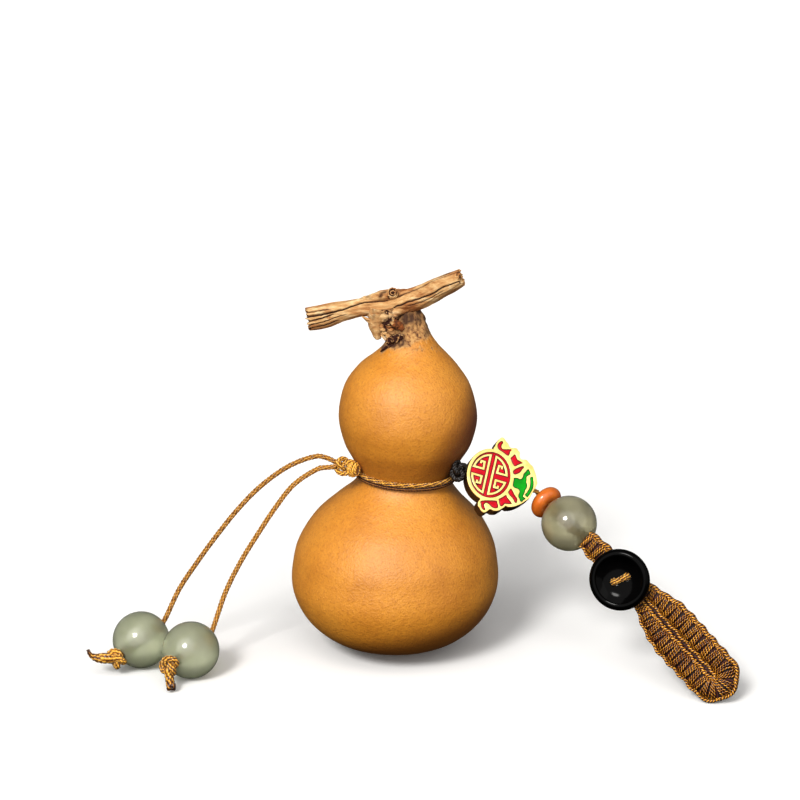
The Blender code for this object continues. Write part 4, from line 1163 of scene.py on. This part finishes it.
def rough_lump(shape, stations, rings, sides, rough, seed, dark=0.0, scale=900, hollow_shade=1.0):
    """A torn woody piece: a tube through (x, y, z, radius) with a rough surface, with painted shade in its hollows."""
    line = smooth_through(stations, rings)
    middle, radius = line[:, :3], line[:, 3]
    _, side, up = frames_along(middle)
    angle = TAU * np.arange(sides) / sides
    out = np.cos(angle)[None, :, None] * side[:, None] + np.sin(angle)[None, :, None] * up[:, None]
    points = middle[:, None] + out * radius[:, None, None]
    bumps = wobble(points, scale, 3, seed)
    ridged = 1 - np.abs(wobble(points * (1, 1, 0.5), scale * 0.8, 2, seed + 3)) * 2.5
    points = points + out * (rough * (bumps + 0.5 * ridged))[..., None]
    # Painted shade: darker where the rough surface dips.
    tone = np.clip(dark + hollow_shade * (np.clip(0.4 - ridged, 0, 1) - bumps * 1.2), 0, 1)
    shape.grid(points, travelled(middle) / MM, np.arange(sides + 1) / sides, tone, caps=True)


def add_flake(shape, place, down, out, length, width, tone):
    """A thin torn scale of wood: it hangs from its place, bends outwards and ends ragged."""
    down, out = unit(down), unit(out)
    across = unit(np.cross(down, out))
    rows, columns = 9, 7
    t = np.linspace(0, 1, rows)[:, None]
    side = np.linspace(-1, 1, columns)[None]
    taper = 1 - 0.55 * t**2
    ragged = 1 + 0.22 * wobble(np.stack([side * 3 + 0 * t, 0 * t + 0 * side, 0 * t * side + place[0] * 9e3], -1), 1.0, 2)
    along = length * t * ragged
    lift = 0.30 * length * t**2 - 0.22 * width * side**2
    front = place + along[..., None] * down + (width * taper * side)[..., None] * across + lift[..., None] * out
    back = front - out * 0.00022
    ring = np.concatenate([front, back[:, ::-1]], axis=1)
    tones = tone + 0.35 * np.clip(t - 0.75, 0, 1) + 0 * side
    # The back of each scale is dark: painted shade under it.
    tones = np.concatenate([tones, np.full((rows, columns), 0.7)], axis=1)
    shape.grid(ring, np.linspace(0, 1.5, rows), np.linspace(0, 1, 2 * columns + 1), tones, caps=True)


# Scales of the torn shoot: x, height, how far forward, the way each hangs, its length, its width and its tone.
FLAKES = (
    (-2.7, 74.6, -2.1, -0.35, 1.1, 0.9, 0.0),
    (-1.2, 74.7, -2.6, 0.10, 1.0, 1.0, 0.15),
    (0.0, 74.8, -2.9, 0.10, 0.9, 0.8, 0.0),
    (-2.4, 73.8, -2.3, -0.25, 1.0, 0.8, 0.1),
    (-0.9, 73.9, -2.7, 0.20, 1.0, 0.9, 0.0),
    (-2.1, 73.0, -2.3, -0.10, 1.0, 0.8, 0.0),
    (-0.6, 73.1, -2.8, 0.30, 0.9, 0.9, 0.3),
    (-2.5, 72.3, -2.1, -0.20, 0.9, 0.6, 0.2),
    (-1.3, 72.3, -2.6, 0.20, 0.9, 0.8, 0.05),
    (0.3, 72.4, -3.2, 0.40, 0.8, 0.8, 0.3),
)
# Fibres and slivers that stand off the torn wood, through (x, y, height, radius) in millimetres.
FIBRES = (
    ((-2.9, -2.2, 71.8, 0.16), (-1.9, -2.8, 70.8, 0.13), (-1.1, -3.1, 69.9, 0.06)),
    ((-2.4, -2.4, 71.7, 0.14), (-1.5, -3.0, 71.0, 0.12), (-0.6, -3.3, 70.3, 0.05)),
    ((-1.6, -2.6, 71.9, 0.14), (-0.7, -3.2, 71.3, 0.11), (0.3, -3.6, 70.9, 0.05)),
    ((-7.0, -1.4, 75.8, 0.10), (-5.9, -1.9, 75.3, 0.34), (-4.6, -2.1, 75.1, 0.22)),
    ((-6.6, -1.5, 75.4, 0.10), (-5.6, -1.9, 74.7, 0.20), (-4.8, -2.1, 74.2, 0.12)),
)


def make_torn_wood():
    """The torn shoot: a smooth flank, scales and fibres over a dark heart, and the knob on the vine."""
    shape = Shape()
    flank = [(-0.0034, -0.0008, 0.0772, 0.0023), (-0.0041, -0.0012, 0.0745, 0.00155)]
    flank += [(-0.0038, -0.0013, 0.0724, 0.0011), (-0.0035, -0.0013, 0.0708, 0.0006)]
    rough_lump(shape, flank, 44, 60, 0.00016, 2.0, scale=800, hollow_shade=0.35)
    heart = [(-0.0014, -0.0004, 0.0772, 0.0024), (-0.0012, -0.0008, 0.0745, 0.0021)]
    heart += [(-0.0008, -0.0010, 0.0725, 0.0017), (-0.0004, -0.0012, 0.0708, 0.0009)]
    rough_lump(shape, heart, 40, 60, 0.00034, 4.0, dark=0.42, scale=1500)
    # The vine's lower strip bellies out over it, and a mound on top runs up to the knob.
    belly = [(-0.0056, -0.0008, 0.0763, 0.0007), (-0.0038, -0.0014, 0.0760, 0.0013), (-0.0018, -0.0016, 0.0761, 0.0013)]
    belly += [(0.0004, -0.0016, 0.0769, 0.0011), (0.0030, -0.0014, 0.0778, 0.0008)]
    rough_lump(shape, belly, 60, 60, 0.00012, 6.0, scale=700, hollow_shade=0.2)
    mound = [(-0.0090, 0.0000, 0.0781, 0.0006), (-0.0050, -0.0001, 0.0792, 0.0010), (-0.0020, -0.0002, 0.0800, 0.0012)]
    mound += [(0.0012, 0.0000, 0.0803, 0.0010), (0.0035, 0.0000, 0.0806, 0.0006)]
    rough_lump(shape, mound, 60, 60, 0.00014, 7.0, dark=0.06, scale=800, hollow_shade=0.4)
    # The crease and the pit are dark lumps: painted shade in the hollows where they lie.
    crease = [(-0.0030, -0.0026, 0.0684, 0.0001), (-0.0016, -0.0031, 0.0696, 0.0003), (0.0002, -0.0034, 0.0702, 0.0004)]
    crease += [(0.0020, -0.0043, 0.0709, 0.0002)]
    rough_lump(shape, crease, 40, 24, 0.00012, 8.0, dark=0.95, scale=1500)
    pit = [(-0.0018, -0.0030, 0.0705, 0.0004), (-0.0005, -0.0034, 0.0712, 0.0008), (0.0008, -0.0037, 0.0716, 0.0008)]
    pit += [(0.0020, -0.0040, 0.0723, 0.0003)]
    rough_lump(shape, pit, 40, 40, 0.00026, 11.0, dark=0.66, scale=2200)
    for x, level, forward, lean, length, width, tone in FLAKES:
        place = np.array((x, forward, level)) * MM
        add_flake(shape, place, (lean, -0.12, -1.0), (0.25 * (x + 1.5), -1.0, 0.25), length * MM, width * MM, tone)
    for stations in FIBRES:
        fibre = smooth_through(stations, 14) * MM
        tube(shape, fibre[:, :3], fibre[:, 3], 6, tone=0.0)
    stub = [(-0.0004, 0.0004, 0.0792, 0.0014), (-0.0004, -0.0008, 0.0803, 0.00125), (-0.0004, -0.0015, 0.0809, 0.0011)]
    rough_lump(shape, stub, 22, 44, 0.00010, 5.0, dark=0.1, scale=1700)
    turn = turn_to(np.array(stub[2][:3]) - np.array(stub[1][:3]))
    angle = TAU * np.arange(40) / 40
    for radius, tone in ((0.00098, 0.0), (0.00072, 0.9), (0.00048, 0.0), (0.00022, 0.9)):
        uneven = radius * (1 + 0.35 * wobble(np.stack([np.cos(angle), np.sin(angle), 0 * angle + radius * 4e3], axis=1), 1.4, 2))
        circle = np.stack([uneven * np.cos(angle), uneven * np.sin(angle), 0.00010 + 0 * angle], axis=1)
        tube(shape, circle @ turn.T + np.array(stub[2][:3]), 0.00014, 6, closed=True, tone=tone)
    boss = Shape()
    bump = [(-0.0003, -0.0021, 0.0749, 0.0004), (0.0003, -0.0027, 0.0744, 0.0008), (0.0011, -0.0030, 0.0739, 0.0007)]
    bump += [(0.0018, -0.0036, 0.0735, 0.0003)]
    rough_lump(boss, bump, 40, 48, 0.00042, 9.0, scale=1500)
    boss.finish("rusty_boss", rust_look, "gourd", slot="gourd")
    return shape.finish("torn_wood", wood_look, "gourd", slot="gourd")


make_skin()
make_vine()
make_torn_wood()


# ---------------------------------------------------------------- the cords round the waist and their knots


def ring_line(middle, radius, count=200):
    angle = TAU * np.arange(count) / count
    tilt = math.radians(3)
    flat = np.stack([radius * np.cos(angle), radius * np.sin(angle), 0 * angle], axis=1)
    flat[:, 2] = -flat[:, 0] * math.sin(tilt)
    flat[:, 0] *= math.cos(tilt)
    return flat + np.array(middle)


def make_waist():
    upper = Shape()
    plied(upper, ring_line((0.0024, 0.0, 0.04115), 0.0108), 0.00054, 0.0021, closed=True, fill=0.47)
    upper.finish("waist_cord_upper_look", gold_thread, "waist_cord_upper", slot="cord")
    # The lower turn is in a darker thread than the upper one: painted shade under the upper turn.
    lower = Shape()
    plied(lower, ring_line((0.0023, 0.0, 0.0402), 0.0106), 0.00044, 0.0018, closed=True)
    lower.finish("waist_cord_lower_look", waist_thread, "waist_cord_lower", slot="dark_cord")


def make_knots():
    knot = Shape()
    turn = turn_to((0.3, -0.9, 0.3))
    plied(knot, knot_line((-0.0106, -0.0058, 0.04385), turn, (0.00265, 0.0021, 0.0024), 0.74), 0.00058, 0.0022, closed=True)
    # Upright wraps bind its right end to the gourd.
    angle = TAU * np.arange(48) / 48
    for step, size in enumerate((0.86, 1.0, 1.04, 0.94, 0.74)):
        middle = np.array((-0.0096 + 0.00040 * step, -0.0060 - 0.00028 * step, 0.0434))
        across = unit(np.cross(unit((0.8, -0.6, 0.0)), (0, 0, 1.0)))
        wrap = middle + 0.0010 * size * np.cos(angle)[:, None] * across
        wrap = wrap + (0.0015 * size * np.sin(angle))[:, None] * np.array((0.05 + 0.10 * (step % 2), 0, 1.0))
        tube(knot, wrap, 0.00025, 7, closed=True, tone=0.16 + 0.16 * (step % 2))
    heart = np.array((-0.0098, -0.0059, 0.0434)) + np.linspace(0, 1, 8)[:, None] * np.array((0.0019, -0.0013, 0.0))
    tube(knot, heart, 0.00092, 12, tone=0.02)
    knot.finish("tail_knot_look", gold_thread, "tail_knot", slot="cord")
    # The knot by the plate is tied in dark thread: painted shade where it sits between the gourd and the plate.
    knot = Shape()
    turn = turn_to((0.5, -0.8, 0.2))
    plied(knot, knot_line((0.0136, -0.0071, 0.0433), turn, (0.0021, 0.0025, 0.0019), 0.74), 0.00060, 0.0018, closed=True)
    knot.finish("strap_knot_look", dark_thread, "strap_knot", slot="dark_cord")


make_waist()
make_knots()


# ---------------------------------------------------------------- floor and light


def make_stage():
    bpy.ops.mesh.primitive_plane_add(size=8.0, location=(0, 0, 0))
    floor = bpy.context.object
    floor.name = "floor"
    paint = Paint("pale_floor", Roughness=0.9, Specular_IOR_Level=0.1)
    shade = paint.ramp(paint.noise(3, 2), (0.3, (0.93, 0.93, 0.93)), (0.7, (0.95, 0.95, 0.95)))
    floor.data.materials.append(paint.wear(Base_Color=shade))
    floor.visible_diffuse = False
    floor.visible_glossy = False

    # A small key and a broad one shine from the upper left, and a soft fill from the upper right.
    for name, energy, degrees, towards in (
        ("key", 2.3, 16, (-0.33, -0.69, 0.61)),
        ("broad_key", 2.1, 75, (-0.30, -0.78, 0.55)),
        ("fill", 1.0, 70, (0.60, -0.62, 0.52)),
    ):
        sun = bpy.data.lights.new(name, "SUN")
        sun.energy = energy
        sun.angle = math.radians(degrees)
        sun.color = (1.0, 0.985, 0.96)
        light = bpy.data.objects.new(name, sun)
        bpy.context.scene.collection.objects.link(light)
        light.rotation_euler = Vector(towards).to_track_quat("Z", "Y").to_euler()

    # The sky is white above and fades below the level of the floor.
    world = bpy.data.worlds.new("studio")
    world.use_nodes = True
    nodes, links = world.node_tree.nodes, world.node_tree.links
    way = nodes.new("ShaderNodeSeparateXYZ")
    links.new(nodes.new("ShaderNodeTexCoord").outputs["Generated"], way.inputs[0])
    lifted = nodes.new("ShaderNodeMath")
    lifted.operation = "ADD"
    lifted.inputs[1].default_value = 0.75
    links.new(way.outputs["Z"], lifted.inputs[0])
    sky = nodes.new("ShaderNodeValToRGB")
    sky.color_ramp.elements[0].color = (0, 0, 0, 1)
    sky.color_ramp.elements[1].color = (1, 1, 1, 1)
    sky.color_ramp.elements[0].position = 0.0
    sky.color_ramp.elements[1].position = 0.80
    links.new(lifted.outputs[0], sky.inputs["Fac"])
    links.new(sky.outputs["Color"], nodes["Background"].inputs["Color"])
    nodes["Background"].inputs["Strength"].default_value = 0.24
    bpy.context.scene.world = world
    bpy.context.scene.view_settings.view_transform = "Standard"
    bpy.context.scene.view_settings.gamma = 0.87


make_stage()
